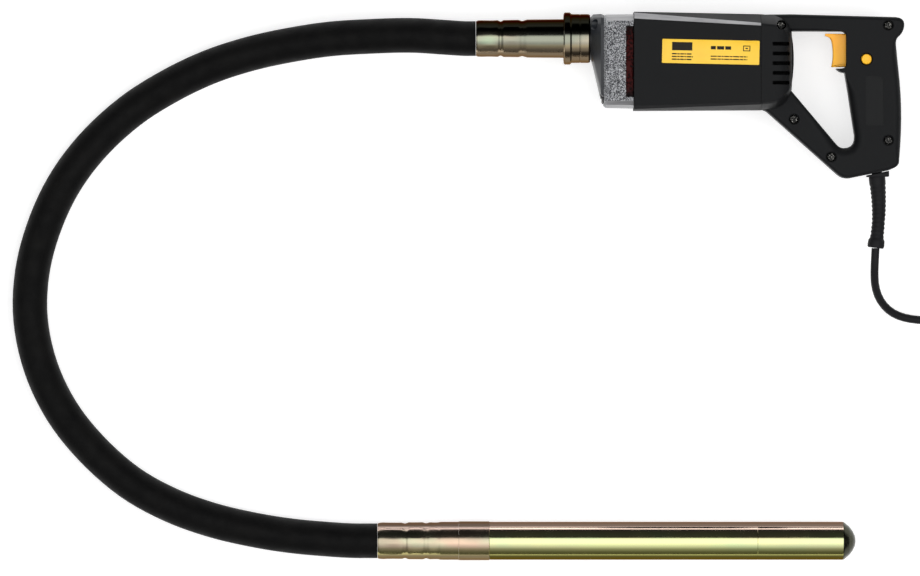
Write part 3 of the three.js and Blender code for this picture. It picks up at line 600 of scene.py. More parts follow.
# %% Skinning rings
def skin(rings, closed=False):
    """Quads between rings of equal counts, and a face on each end unless the rings close."""
    count = len(rings[0])
    points = [p for ring in rings for p in ring]
    rows = len(rings) if closed else len(rings) - 1
    faces = []
    for row in range(rows):
        low, high = row * count, (row + 1) % len(rings) * count
        faces += [(low + i, low + (i + 1) % count, high + (i + 1) % count, high + i) for i in range(count)]
    if not closed:
        last = (len(rings) - 1) * count
        faces += [tuple(reversed(range(count))), tuple(range(last, last + count))]
    return points, faces


def eased(points, radius, closed=False, steps=3):
    """Rounds each corner of a row of 2D points with a short curve."""
    made = []
    for i, here in enumerate(points):
        if not closed and i in (0, len(points) - 1):
            made.append(tuple(here))
            continue
        here = Vector(here)
        back = Vector(points[i - 1]) - here
        on = Vector(points[(i + 1) % len(points)]) - here
        reach = min(radius, 0.45 * back.length, 0.45 * on.length)
        first, last = here + back.normalized() * reach, here + on.normalized() * reach
        for k in range(steps + 1):
            t = k / steps
            made.append(tuple(first * (1 - t) ** 2 + here * 2 * t * (1 - t) + last * t * t))
    return made


def brick(name, x, y, z):
    """A plain block used as a cutter or as a raised bar."""
    rings = [[(x[0], y[0], h), (x[1], y[0], h), (x[1], y[1], h), (x[0], y[1], h)] for h in z]
    return mesh_piece(name, *skin(rings))


corners, sides = skin([[(0, 0, z), (1, 0, z), (1, 1, z), (0, 1, z)] for z in (0, 1)])
print("a skinned cube has", len(corners), "points and", len(sides), "faces")

# %% [markdown]
# A lathe needs half a silhouette: how far along the axis, and how far from it. With a bore the last
# ring joins the first, and the result is a tube with a wall.

# %% The lathe
def turned(name, profile, centre, along="X", bore=None, ease=0.4, segments=72, wave=None, sharp=35):
    """Spins (place along the axis, radius) pairs about an axis; wave(place, angle) adds to the radius."""
    rows = eased(profile, ease)
    if bore:
        rows += [(rows[-1][0], bore), (rows[0][0], bore)]
    rings = []
    for place, radius in rows:
        ring = []
        for i in range(segments):
            angle = math.tau * i / segments
            reach = radius + (wave(place, angle) if wave else 0)
            u, v = reach * math.cos(angle), reach * math.sin(angle)
            spots = {
                "X": (place, centre[0] + u, centre[1] + v),
                "Y": (centre[0] + u, place, centre[1] + v),
                "Z": (centre[0] + u, centre[1] + v, place),
            }
            ring.append(spots[along])
        rings.append(ring)
    return mesh_piece(name, *skin(rings, closed=bool(bore)), sharp)


print("points of one eased corner:", len(eased([(0, 0), (1, 0), (1, 1)], 0.2)))

# %% [markdown]
# A flat moulding is an outline with a rounded rim. The rim moves each point along its miter, the
# direction halfway between its two edges. In a tight corner a large rim would fold over itself,
# which a Boolean can't cut with, so `slab` makes the radius smaller there.

# %% The flat moulding
def offsets(outline):
    """The outward miter direction at each point of a closed outline."""
    area = sum(a[0] * b[1] - b[0] * a[1] for a, b in zip(outline, outline[1:] + outline[:1]))
    sign = 1 if area > 0 else -1
    found = []
    for i, here in enumerate(outline):
        back = (Vector(here) - Vector(outline[i - 1])).normalized()
        on = (Vector(outline[(i + 1) % len(outline)]) - Vector(here)).normalized()
        first, last = Vector((back.y, -back.x)), Vector((on.y, -on.x))
        found.append(sign * (first + last) / max(1 + first.dot(last), 0.35))
    return found


def slab(name, outline, low, high, edge, flare=False, steps=4, sharp=35):
    """A plate with rounded rims. edge is a radius, or one for each point, made smaller where a
    tight corner would fold the rim over itself. With flare it is a cutter whose mouths open
    outwards, and it stands 2 mm past both faces."""
    edges = list(edge) if isinstance(edge, list) else [edge] * len(outline)
    ways = offsets(outline)
    side = 1 if flare else -1
    for _ in range(40):
        moved = [Vector(p) + side * n * e for p, n, e in zip(outline, ways, edges)]
        for i, here in enumerate(outline):
            on = (i + 1) % len(outline)
            run = Vector(outline[on]) - Vector(here)
            if (moved[on] - moved[i]).dot(run) < 0.12 * run.length_squared:
                edges[i], edges[on] = edges[i] * 0.86, edges[on] * 0.86
    half = []
    for k in range(steps + 1):
        turn = k / steps * math.pi / 2
        drift, rise = 1 - math.sin(turn), 1 - math.cos(turn)
        half.append([(p[0] + side * n.x * e * drift, p[1] + side * n.y * e * drift, e * rise)
                     for p, n, e in zip(outline, ways, edges)])
    rings = [[(x, y, low + z) for x, y, z in ring] for ring in half]
    rings += [[(x, y, high - z) for x, y, z in ring] for ring in reversed(half)]
    if flare:
        rings = [[(x, y, z - 2) for x, y, z in rings[0]], *rings, [(x, y, z + 2) for x, y, z in rings[-1]]]
    return mesh_piece(name, *skin(rings), sharp)


square = [(0, 0), (1, 0), (1, 1), (0, 1)]
print("miter at a square's corner:", [round(v, 2) for v in offsets(square)[0]])

# %% [markdown]
# `carve` is the milling machine: its cutters take material away, or weld pieces together. `soften`
# breaks the sharp edges afterwards, and weighted normals keep the flat faces flat.

# %% Milling and edge breaks
def carve(piece, *cutters, operation="DIFFERENCE"):
    """Boolean cuts; the cutters are used up."""
    for cutter in cutters:
        cut = piece.modifiers.new("cut", "BOOLEAN")
        cut.operation = operation
        cut.solver = "EXACT"
        cut.object = cutter
        settle(piece)
        bpy.data.objects.remove(cutter)
    return piece


def soften(piece, width, angle=30, segments=2, sharp=40):
    """Breaks the sharp edges by width millimetres."""
    bevel = piece.modifiers.new("bevel", "BEVEL")
    bevel.limit_method = "ANGLE"
    bevel.angle_limit = math.radians(angle)
    bevel.width = width * MM
    bevel.segments = segments
    settle(piece)
    shade(piece, sharp)
    even = piece.modifiers.new("even", "WEIGHTED_NORMAL")
    even.keep_sharp = True
    return settle(piece)


print("bevel steps of an edge break:", soften.__defaults__[1])

# %% [markdown]
# Hoses, leads and wires follow a line. `traced` is a centripetal spline: it spaces its points by the
# root of their distance, so that it never overshoots a tight bend. `tube` carries one direction
# along the line, which keeps the bar from twisting.

# %% Lines and tubes
def traced(points, per_span=8):
    """A smooth line through points, spaced so that it never overshoots a bend."""
    spots = [Vector(p) for p in points]
    spots = [2 * spots[0] - spots[1], *spots, 2 * spots[-1] - spots[-2]]
    line = []
    for a, b, c, d in zip(spots, spots[1:], spots[2:], spots[3:]):
        t1 = (b - a).length ** 0.5
        t2 = t1 + (c - b).length ** 0.5
        t3 = t2 + (d - c).length ** 0.5
        for k in range(per_span):
            t = t1 + (t2 - t1) * k / per_span
            ab = a * ((t1 - t) / t1) + b * (t / t1)
            bc = b * ((t2 - t) / (t2 - t1)) + c * ((t - t1) / (t2 - t1))
            cd = c * ((t3 - t) / (t3 - t2)) + d * ((t - t2) / (t3 - t2))
            abc = ab * ((t2 - t) / t2) + bc * (t / t2)
            bcd = bc * ((t3 - t) / (t3 - t1)) + cd * ((t - t1) / (t3 - t1))
            line.append(abc * ((t2 - t) / (t2 - t1)) + bcd * ((t - t1) / (t2 - t1)))
    return [*line, spots[-2]]


def length_of(line):
    return sum((b - a).length for a, b in zip(line, line[1:]))


def tube(name, line, radius, sides=24, sharp=60):
    """A round bar along a line. radius is a number, or a function of the run from the start."""
    rings, run = [], 0.0
    ahead = (line[1] - line[0]).normalized()
    across = ahead.orthogonal().normalized()
    for i, here in enumerate(line):
        near, far = line[max(i - 1, 0)], line[min(i + 1, len(line) - 1)]
        ahead = (far - near).normalized()
        across = (across - ahead * across.dot(ahead)).normalized()
        up = ahead.cross(across)
        run += (here - near).length
        reach = radius(run) if callable(radius) else radius
        ring = []
        for k in range(sides):
            angle = math.tau * k / sides
            ring.append(here + across * math.cos(angle) * reach + up * math.sin(angle) * reach)
        rings.append(ring)
    return mesh_piece(name, *skin(rings), sharp)


quarter = [(math.cos(k * math.pi / 8), math.sin(k * math.pi / 8), 0) for k in range(5)]
print("a traced quarter circle:", round(length_of(traced(quarter)), 3), "| exact:", round(math.pi / 2, 3))

# %% [markdown]
# Every finished piece goes through `dress`. It gives the piece its slot's finish, tells the frame
# which body it rides on, and names the plain mechanical piece that it stands in for.

# %% Dressing a piece
dressed = []


def dress(piece, node, slot=None, replaces=True, finish=None):
    """Gives a piece its finish and lets it ride on the body that the CAD node belongs to."""
    slot = slot or slot_of_node[node]
    piece.data.materials.clear()
    piece.data.materials.append(finish or finishes[slot])
    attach(piece, body_of_node[node])
    if replaces:
        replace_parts(piece, node)
    dressed.append(piece.name)
    return piece


print("bodies to ride on:", sorted(set(body_of_node.values())))

# %% [markdown]
# ## Floor and light
# A dark tool is best lit by long strips, because a dark surface shows only what it mirrors. The
# world is therefore a sky of bands that run along X. A face tilted towards +Y mirrors
# one band, the face beside it another, and every chamfer gets its own tone. The floor glows a
# little, as a light table does, so the shadows stay faint. Two soft boxes fill the colours in: they
# light surfaces but leave no mirror image, so the bands stay clean.

# %% Floor and light
def floor_finish(p):
    cloud = p.noise(1.5, 2)
    return {
        "Base Color": p.mix(cloud, (0.60, 0.60, 0.60), (0.63, 0.63, 0.63)),
        "Roughness": 0.9,
        "Emission Color": p.mix(cloud, (0.60, 0.60, 0.60), (0.61, 0.61, 0.61)),
        "Emission Strength": 1.0,
        "Normal": p.bump(p.noise(220, 2), 0.00005),
    }


floor_half = 6000
floor = mesh_piece("floor", [(-floor_half, -floor_half, -0.4), (floor_half, -floor_half, -0.4),
                             (floor_half, floor_half, -0.4), (-floor_half, floor_half, -0.4)],
                   [(0, 1, 2, 3)])
floor.data.materials.append(material("floor_finish", floor_finish))
floor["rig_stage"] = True
print("floor side in metres:", 2 * floor_half * MM)

# %% [markdown]
# The sky has no picture in it. It is a function of one angle: how far a direction leans from the
# zenith towards +Y. Each pair in `BANDS` is an angle and a brightness, with straight ramps between
# them. Towards both ends of X the sky darkens, so the round ends of the metal get a dark outline.

# %% Sky bands
world = bpy.data.worlds.new("world")
scene.world = world
world.use_nodes = True
sky = Paint(world.node_tree)
ray = sky.node("ShaderNodeSeparateXYZ", {}, {0: sky.node("ShaderNodeTexCoord", out="Generated")}, out="Y")
up, along = (Wire(sky, ray.socket.node.outputs[axis]) for axis in "ZX")
tilt = sky.node("ShaderNodeMath", {"operation": "ARCTAN2"}, {0: ray, 1: up}) * (180 / math.pi)
BANDS = [(-90, 0.12), (-70, 0.16), (-50, 0.38), (-31, 0.90), (-12, 1.60), (13, 1.55), (20, 0.04),
         (73, 0.02), (78, 1.7), (90, 1.7)]
level = sky.span(tilt, BANDS[0][0], BANDS[0][0] + 0.1, BANDS[0][1], BANDS[0][1])
for (low, before), (high, after) in zip(BANDS, BANDS[1:]):
    level = level + sky.span(tilt, low, high, 0.0, after - before)
background = next(n for n in world.node_tree.nodes if n.type == "BACKGROUND")
ends = sky.node("ShaderNodeMath", {"operation": "ABSOLUTE"}, {0: along})
level = level * sky.span(ends, 0.55, 0.9, 1.0, 0.12)
background.inputs["Color"].default_value = (1.0, 1.0, 1.0, 1.0)
world.node_tree.links.new(level.socket, background.inputs["Strength"])
print("sky bands:", len(BANDS) - 1)

# %% [markdown]
# The two soft boxes are area lamps, because the softness of a shadow is the size of the lamp that
# casts it. One stands high above, and one leans in from the side of the handle.

# %% Soft boxes
lamp = bpy.data.lights.new("side_box", "AREA")
lamp.shape = "RECTANGLE"
lamp.size, lamp.size_y = 2.4, 1.0
lamp.energy = 26
side_box = bpy.data.objects.new("side_box", lamp)
side_box.location = (2.3, -0.25, 2.5)
side_box.rotation_euler = (Vector((0, 0, 0)) - side_box.location).to_track_quat("-Z", "Y").to_euler()
scene.collection.objects.link(side_box)
top_lamp = bpy.data.lights.new("top_box", "AREA")
top_lamp.shape = "SQUARE"
top_lamp.size = 3.0
top_lamp.energy = 55
top_box = bpy.data.objects.new("top_box", top_lamp)
top_box.location = (-0.1, 0.0, 4.2)
top_box.visible_glossy = False
side_box.visible_glossy = False
top_box.visible_camera = False
scene.collection.objects.link(top_box)
print("lamp power in watts:", lamp.energy, top_lamp.energy)

# %% [markdown]
# ## The hose
# The hose is rubber over a spiral of flat spring steel, the liner, in which the flexible core
# spins. It is stiff, so it keeps a wide loop: from the machine, over the left side and back to the
# poker. All three follow one line.

# %% Hose, liner and core
HOSE_ROUTE = [
    (16.9, 227.6, 43), (7, 227.6, 43), (-12, 228.8, 42.8), (-43, 230.6, 41.2), (-80, 229.7, 38),
    (-117, 227.4, 33.4), (-154, 221.9, 28.2), (-190, 214.1, 23.4), (-227, 202.2, 19.4),
    (-264, 184.7, 17), (-301, 161.2, 16.2), (-337, 127.8, 16.2), (-363, 92, 16.2), (-381, 52, 16.2),
    (-391, 12, 16.2), (-392.4, -30, 16.2), (-383, -74, 16.2), (-364, -114, 16.2),
    (-337, -148.3, 16.2), (-301, -180, 16.2), (-264, -200.6, 16.2), (-227, -214.2, 16.2),
    (-190, -223.1, 16.3), (-154, -229, 16.8), (-117, -232.4, 17.6), (-96, -233.6, 17.95),
    (-82, -233.7, 17.95), (-73.5, -233.7, 17.95),
]
HOSE_BEND = {"start": at(-392.4, 110, 16.2), "end": at(-392.4, -130, 16.2)}
hose_line = traced(HOSE_ROUTE, 5)
hose_length = length_of(hose_line)
for name, node, radius, sides in (
    ("rubber_hose", "hose", 16.0, 40),
    ("liner_spiral", "hose_liner", lambda run: 8.25 + 0.05 * math.sin(run * 1.3), 16),
    ("core_wires", "flexible_core", 5.0, 12),
):
    piece = tube(name, hose_line, radius, sides)
    piece.data.materials.append(finishes[slot_of_node[node]])
    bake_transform(piece)
    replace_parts(piece, node)
print("hose length in mm:", round(hose_length))

# %% [markdown]
# ## The mains lead
# The lead leaves the sleeve at the foot of the grip, drops to the floor and runs off to a stored
# coil with a strap and a moulded plug. The coil is made by a loop: each keyframe says at which
# turn the cord has which radius and height, and the points between are worked out. Stacking the
# layers one cord's width apart keeps the turns from lying inside each other.

# %% Mains lead and its coil
CORD_RADIUS = 3.75
CORD_ROUTE = [
    (383.8, 35.2, 43), (383.3, 25, 42.4), (383, 14, 39), (383.6, 3, 32.5), (386.6, -8, 24.4),
    (392.6, -17.4, 16.4), (401, -24.4, 10), (411.6, -28.6, 6), (424, -30.6, 4.2), (438, -31, 3.9),
    (450, -31, 3.9), (461.5, -31, 3.9), (478, -31, 4.9),
]
COIL_CENTRE = (490, 19)
COIL_KEYS = [
    (0, 50, 5.45), (1, 42.3, 5.45), (2, 34.6, 5.45), (2.12, 33.6, 8.2), (2.3, 34.8, 13.15),
    (3.3, 42.5, 13.15), (4.25, 50, 13.15), (4.37, 50.2, 16.5), (4.55, 49, 21), (5, 48.6, 21),
    (5.2, 50, 21),
]
CORD_END = [(541.8, 27, 20.9), (543.2, 35.5, 18.9), (541.6, 42.5, 17.5), (540, 47.4, 17.2)]


def coil_points(step=1 / 24):
    """Points along the coil, from the keyframes of turn, radius and height."""
    made = []
    for (turn, radius, height), (on, next_radius, next_height) in zip(COIL_KEYS, COIL_KEYS[1:]):
        count = max(1, round((on - turn) / step))
        for k in range(count):
            share = k / count
            angle = math.tau * (turn + (on - turn) * share) - math.pi / 2
            soft = share * share * (3 - 2 * share)
            reach = radius + (next_radius - radius) * share
            made.append((COIL_CENTRE[0] + reach * math.cos(angle), COIL_CENTRE[1] + reach * math.sin(angle),
                         height + (next_height - height) * soft))
    return made


cord_line = traced([*CORD_ROUTE, *coil_points(), *CORD_END], 2)
cord_length = length_of(cord_line)
lead = dress(tube("mains_lead", cord_line, CORD_RADIUS, 14), "mains_cord")
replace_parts(lead, "mains_cord", "cord_coil")
print("turns in the coil:", COIL_KEYS[-1][0], "| points on the lead:", len(cord_line))

# %% [markdown]
# The strap that holds the coil is a closed band: a rounded rectangle inside another, as wide as
# the tape. It is pulled tight round the turns, so it takes the shape of their section.

# %% Strap
def band(name, x, y, z, thick, radius):
    """A strap closed round a bundle: a rounded rectangle with a wall, as wide as x says."""
    loops = []
    for inset in (0, thick):
        box = [(y[0] + inset, z[0] + inset), (y[1] - inset, z[0] + inset),
               (y[1] - inset, z[1] - inset), (y[0] + inset, z[1] - inset)]
        loops.append(eased(box, radius - inset, closed=True, steps=6))
    rings = [[(x[side], v, w) for v, w in loops[which]] for which, side in ((0, 0), (0, 1), (1, 1), (1, 0))]
    return mesh_piece(name, *skin(rings, closed=True), 50)


low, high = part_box("cord_tie")
STRAP = (482, 498)
strap = band("cord_strap", STRAP, (low.y / MM, high.y / MM), (0.15, 26.6), 1.2, 5)
dress(strap, "cord_tie")
print("strap width in mm:", STRAP[1] - STRAP[0])

# %% [markdown]
# The plug is overmoulded on the lead: rings behind it let the lead bend, and finger grooves round
# its waist give a grip. It is turned like a lathe part, and the grooves come from a wave that
# makes the radius smaller at fourteen places. The two prongs are steel pins with rounded ends.

# %% Plug and prongs
PLUG_START = 47.3
plug_profile = [
    (0, 4.6), (3, 5.4), (4, 4.9), (7, 4.9), (8, 5.9), (11, 6.0), (12, 5.4), (15, 5.4), (16, 6.5),
    (20, 6.7), (27, 8.7), (31, 12), (35, 16.4), (44, 17), (46, 17), (47, 16.2), (58.5, 15.8), (60, 15),
]
plug_centre = (540, 17.2)


def plug_grip(place, angle):
    """Finger grooves moulded round the plug's waist."""
    share = max(0.0, 1 - abs(place - PLUG_START - 36) / 8)
    return -0.55 * share * (0.5 + 0.5 * math.cos(14 * angle))


plug = turned("plug_body", [(PLUG_START + a, r) for a, r in plug_profile], plug_centre, "Y",
              ease=0.9, wave=plug_grip)
dress(plug, "plug")
for index, drift in enumerate((-9.5, 9.5)):
    prong = turned(f"plug_prong_{index + 1}", [(106.6, 2.4), (125, 2.4), (126.3, 1.5)],
                   (plug_centre[0] + drift, plug_centre[1]), "Y", ease=0.8, segments=24)
    dress(prong, "plug", "steel", replaces=False)

# %% [markdown]
# The point where the lead leaves the sleeve and the points along it are worked out in the frame's
# metres, and the lead's length is printed.

# %% The lead's facts
at(383.8, 35.2, 43)
[at(*p) for p in cord_line]
print("lead length in mm:", round(cord_length))

# %% [markdown]
# ## The hose ends
# The ferrules are thin tubes crimped on the hose. A crimping press closes eight jaws, so the
# grooves aren't perfectly round: the `wave` function presses eight flats into them. The ferrule at
# the machine ends in a flange, which the coupling nut pulls against the spigot.

# %% Crimped ferrules
OUTPUT = (OUTPUT_Y, MOTOR_Z)
POKER = (POKER_Y, POKER_Z)


def crimped(zones):
    """Jaw marks of a crimping press in each (from, to) zone along the axis."""
    def wave(place, angle):
        for start, stop in zones:
            if start < place < stop:
                depth = math.sin(math.pi * (place - start) / (stop - start))
                return -0.3 * depth * abs(math.cos(4 * angle + start)) ** 0.6
        return 0.0
    return wave


def crimp_profile(parts):
    """Fills long steps of a profile so that the jaw marks have points to move."""
    rows = []
    for (a, r), (b, s) in zip(parts, parts[1:]):
        count = max(1, round((b - a) / 2.2))
        rows += [(a + (b - a) * k / count, r + (s - r) * k / count) for k in range(count)]
    return [*rows, parts[-1]]


machine_ferrule = crimp_profile([
    (17.2, 15.9), (19, 16.7), (26, 17.0), (37, 17.0), (39.8, 15.6), (42.6, 17.1), (56, 17.3),
    (59.5, 16.1), (64, 17.5), (74, 17.6), (100.4, 17.8),
])
poker_ferrule = crimp_profile([
    (-73.2, 16.0), (-71.4, 16.7), (-68, 16.9), (-51, 16.8), (-48, 15.8), (-44.6, 17.1), (-32, 17.2),
    (-28.6, 16.1), (-25, 17.2), (-17, 17.0), (-15.6, 17.5), (1.4, 17.5),
])
ferrule = turned("machine_ferrule", [*machine_ferrule, (100.6, 20.1), (104.6, 20.1)], OUTPUT, bore=7.6,
                 ease=0.7, segments=96, wave=crimped([(22, 38), (42, 58)]))
dress(ferrule, "hose_ferrule", finish=machine_zinc)
far_ferrule = turned("poker_end_ferrule", poker_ferrule, POKER, bore=7.6, ease=0.7, segments=96,
                     wave=crimped([(-68, -50), (-45, -31), (-26, -17)]))
dress(far_ferrule, "poker_ferrule", finish=ferrule_zinc)
at(*HOSE_ROUTE[0])
[at(*p) for p in hose_line]
print("profile points of the two ferrules:", len(machine_ferrule), len(poker_ferrule))

# %% [markdown]
# ## The nut and the poker
# The nut, the adapter, the tube and the cap are plain lathe work with small edge breaks, which is
# where a real turned part catches the light. The cap's cone gets a dark steel as a painted
# reflection of the dark ends of the sky.

# %% Nut, adapter, tube and cap
nut = turned("nut_ring", [(97.3, 18.4), (97.5, 22.9), (98.6, 24), (103.4, 24), (104.4, 23.0), (105.2, 22.5),
                          (112.0, 22.5), (112.4, 22.2), (113.0, 22.2), (113.4, 22.5), (120.4, 22.5),
                          (121.9, 21.6)], OUTPUT, bore=20.4, ease=0.4, segments=96)
dress(nut, "coupling_nut", finish=machine_zinc)
dress(turned("poker_adapter_ring", [(1.45, 17.7), (1.6, 17.9), (29.3, 17.9), (29.45, 17.7)], POKER,
             bore=7.6, ease=0.1, segments=96), "poker_adapter", finish=ferrule_zinc)
dress(turned("poker_shell", [(29.5, 17.35), (29.65, 17.5), (275.9, 17.5), (276.05, 17.38)], POKER, bore=14.5,
             ease=0.1, segments=96), "poker_tube")
tip = turned("poker_tip", [(276.1, 17.38), (276.25, 17.5), (355.2, 17.5), (360.4, 13.2), (363.6, 9.0),
                           (365.6, 4.8), (366.2, 0.6)], POKER, ease=1.2, segments=96)
dress(tip, "tip_cap")
# Painted reflection: the cone, facing +X, gets a dark steel.
tip.data.materials.append(material("rubbed_tip", ground((0.060, 0.062, 0.042), 0.22, 500, (1, 1, 1))))
for polygon in tip.data.polygons:
    if polygon.normal.x > 0.3:
        polygon.material_index = 1
print("turned pieces:", [name for name in dressed if "ferrule" in name or "poker" in name or "nut" in name])

# %% [markdown]
# ## The motor housing
# The housing is one deep moulding. Its top and bottom are not square: a narrow chamfer runs along
# each edge of the flat side and gets narrower towards the handle, while a steep flank opens below
# it. Twelve corner points at each end describe that, and a loft joins them. The same rings, carried
# on and pulled in, make the bulged rear cover that belongs to the handle.

# %% Housing and rear cover rings
def twelve(x, top, bottom, inset=0.0):
    """A ring of twelve points: three for each rounded corner, the same above and below z = 43."""
    upper = [(y - inset, z - inset) for y, z in top]
    lower = [(y + inset, z - inset) for y, z in bottom]
    face = [*upper, *reversed(lower)]
    back = [(y, 2 * MOTOR_Z - z) for y, z in face]
    return [(x, y, z) for y, z in [*face, *reversed(back)]]


FRONT_TOP = [(251.6, 77), (250.7, 81.3), (245.2, 86)]
FRONT_BOTTOM = [(161.4, 77), (162.3, 81.3), (165.3, 86)]
REAR_TOP = [(249.5, 67), (241.2, 84), (238.7, 86)]
REAR_BOTTOM = [(161.9, 67), (166.6, 84), (168.8, 86)]
COVER_RINGS = [
    (278.1, REAR_TOP, REAR_BOTTOM),
    (291, [(248.3, 66), (239.8, 83.4), (237.3, 85.2)], [(163.2, 66), (168.0, 83.4), (170.2, 85.2)]),
    (298, [(245.4, 64), (238.2, 80.6), (235.4, 83.2)], [(166.2, 64), (171.8, 80.6), (174.6, 83.2)]),
    (303.4, [(240.6, 61), (234.4, 76), (231.4, 79)], [(172.2, 61), (177.6, 76), (180.4, 79)]),
    (306.5, [(233.6, 58), (229.2, 69.6), (226.4, 72.6)], [(180.2, 58), (184.2, 69.6), (187, 72.6)]),
]


def lofted(name, rings, inset=0.0, stretch=0.0):
    """Skins rings of twelve. inset pulls them in for a room, stretch lengthens both ends."""
    made = [twelve(x, top, bottom, inset) for x, top, bottom in rings]
    if stretch:
        made[0] = [(x - stretch, y, z) for x, y, z in made[0]]
        made[-1] = [(x + stretch, y, z) for x, y, z in made[-1]]
    return mesh_piece(name, *skin(made), 12)


HOUSING_RINGS = [(161.8, FRONT_TOP, FRONT_BOTTOM), (277.8, REAR_TOP, REAR_BOTTOM)]
housing = lofted("housing_shell", HOUSING_RINGS)
carve(housing, lofted("housing_room", HOUSING_RINGS, 3.2, 2))
soften(housing, 0.45, angle=14, sharp=50)
dress(housing, "motor_housing")
# The upward chamfer faces get the painted highlight material.
housing.data.materials.append(burnished_edge)
for polygon in housing.data.polygons:
    if 0.5 < polygon.normal.y < 0.78 and 0.6 < polygon.normal.z < 0.86 and polygon.area > 1e-5:
        polygon.material_index = 1
print("housing faces:", len(housing.data.polygons))

# %% [markdown]
# ## The gear case
# This casting carries both shafts, and its mounting face and screw ways are milled. The mechanical
# model already has those cuts in the right places, so the looks start from a copy of it: its
# sharp edges get the radius that a sand-cast and painted part has.

# %% Gear case
def softened(node, name, width, angle=25):
    """A copy of a CAD node's mesh with clean faces and rounded edges."""
    piece = bpy.data.objects.new(name, frame["nodes"][node].data.copy())
    scene.collection.objects.link(piece)
    weld = piece.modifiers.new("weld", "WELD")
    weld.merge_threshold = 0.00001
    flat = piece.modifiers.new("flat", "DECIMATE")
    flat.decimate_type = "DISSOLVE"
    flat.angle_limit = math.radians(1)
    settle(piece)
    return soften(piece, width, angle)


casting = dress(softened("gear_case", "gear_case_casting", 0.8), "gear_case")
# The nose's faces turn away from the light, so they get a darker, smoother copy of the paint: painted shade.
nose_paint = material("nose_paint", grained((0.0135, 0.016, 0.020), 0.32, 0.00003, 600, shine=0.5))
casting.data.materials.append(nose_paint)
casting.data.materials.append(burnished_edge)
nose_end = at(134.5, 0, 0).x
# The gear case's upper and lower chamfers get the painted highlight material, index 2.
for polygon in casting.data.polygons:
    if polygon.center.x < nose_end:
        polygon.material_index = 1
    elif abs(polygon.normal.y) > 0.6 and polygon.normal.z > 0.3:
        polygon.material_index = 2
print("gear case faces:", len(casting.data.polygons))

# %% [markdown]
# Every screw on the tool is the same one: a pan head with a cross recess, turned from wire and
# pressed. `screw` works for both directions, along X for the gear case and along Z for the handle.

# %% Screws of the gear case
def screw(name, node, spot, axis, face, ways):
    """A pan head with a cross recess. face is the head's top, ways +1 or -1 its outward direction."""
    head = [(face - ways * 2.2, 3.9), (face - ways * 0.7, 3.9), (face, 2.9)]
    shank = [(face - ways * 11, 2.0), (face - ways * 2.25, 2.0)]
    piece = turned(name, [*shank, *head], spot, axis, ease=0.5, segments=32)
    for long_u, long_v in ((2.5, 0.55), (0.55, 2.5)):
        deep = sorted((face - ways * 1.3, face + ways))
        u, v = (spot[0] - long_u, spot[0] + long_u), (spot[1] - long_v, spot[1] + long_v)
        slot = brick("slot", u, v, deep) if axis == "Z" else brick("slot", deep, u, v)
        carve(piece, slot)
    return dress(soften(piece, 0.15), node)


CASE_SCREWS = [(240, 70), (240, 16), (171.6, 70), (171.6, 16)]
for index, spot in enumerate(CASE_SCREWS):
    screw(f"case_screw_{index + 1}", f"gear_case_screw_{index + 1}", spot, "X", 132.6, -1)
print("gear case screws:", len(CASE_SCREWS))

# %% [markdown]
# ## The D handle
# The handle is two shells that meet in the middle plane and are screwed together; the rear cover
# of the motor is moulded with them. The drawing is one outline and one opening. The rims of the
# opening are rounded, and most at the front of the grip, where the fingers press: `slab` takes one
# radius for each point, so a single cutter leaves a mouth that widens along the grip.

# %% Handle outline and opening
def drawn(start, *steps):
    """A closed outline: a pair is a straight line, and four numbers are a curve with its control point."""
    made = [Vector(start)]
    for step in steps:
        if len(step) == 2:
            made.append(Vector(step))
            continue
        first, pull, last = made[-1], Vector(step[:2]), Vector(step[2:])
        for k in range(1, 6):
            t = k / 5
            made.append(first * (1 - t) ** 2 + pull * 2 * t * (1 - t) + last * t * t)
    return [tuple(p) for p in made]


handle_outline = drawn(
    (279, 249.3), (306, 249.6), (402, 247), (411, 246.4, 409.6, 238), (408.6, 232.5, 404.4, 229),
    (401.6, 226.5, 402.1, 222), (403.6, 207, 405.6, 188), (408.2, 160, 406.2, 130), (404.9, 114),
    (404.4, 110.6, 400, 108.6), (395.4, 106.6), (360, 99.4), (353.6, 98.4, 348.6, 102.6),
    (286, 158.4), (283.4, 161.2, 279, 162.2),
)
opening_outline = drawn(
    (305.4, 234.2), (330, 234.2), (352, 234.2), (356.2, 234, 356.3, 230), (356.3, 202),
    (355, 199.4, 347.4, 199.8), (350, 196.4, 355.4, 196), (357, 186, 359.4, 170),
    (362, 152, 364.3, 138), (364.6, 127.2, 354.4, 127), (350.4, 127, 347.6, 130.4), (326, 155.9),
    (305.4, 180.4),
)


def mouth(x, y):
    """The rim's radius at a point of the opening."""
    if x > 345 and y > 192:
        return 0.9
    if y < 192 and x > 340:
        return 0.9 + 7.6 * min(1.0, (192 - y) / 16)
    return 3.4


def rim(x, y):
    """The outer rim's radius: the heel of the hand rests on a rounder stretch behind the grip."""
    if x < 390:
        return 3.8
    ends = min(y - 116, 226 - y) / 14
    return 3.8 + 3.6 * max(0.0, min(1.0, ends))


dee = slab("dee", handle_outline, 24, 62, [rim(x, y) for x, y in handle_outline], steps=6)
mouths = [mouth(x, y) for x, y in opening_outline]
carve(dee, slab("opening", opening_outline, 24, 62, mouths, flare=True, steps=5))
print("handle outline points:", len(handle_outline), "| opening points:", len(opening_outline))

# %% [markdown]
# The rear cover of the motor belongs to the same moulding, and its end bows out a little. The
# cooling slots go through it on both sides. A thin baffle wall behind the far slots keeps water
# and sight out of the motor, as the labyrinth of a real tool does.

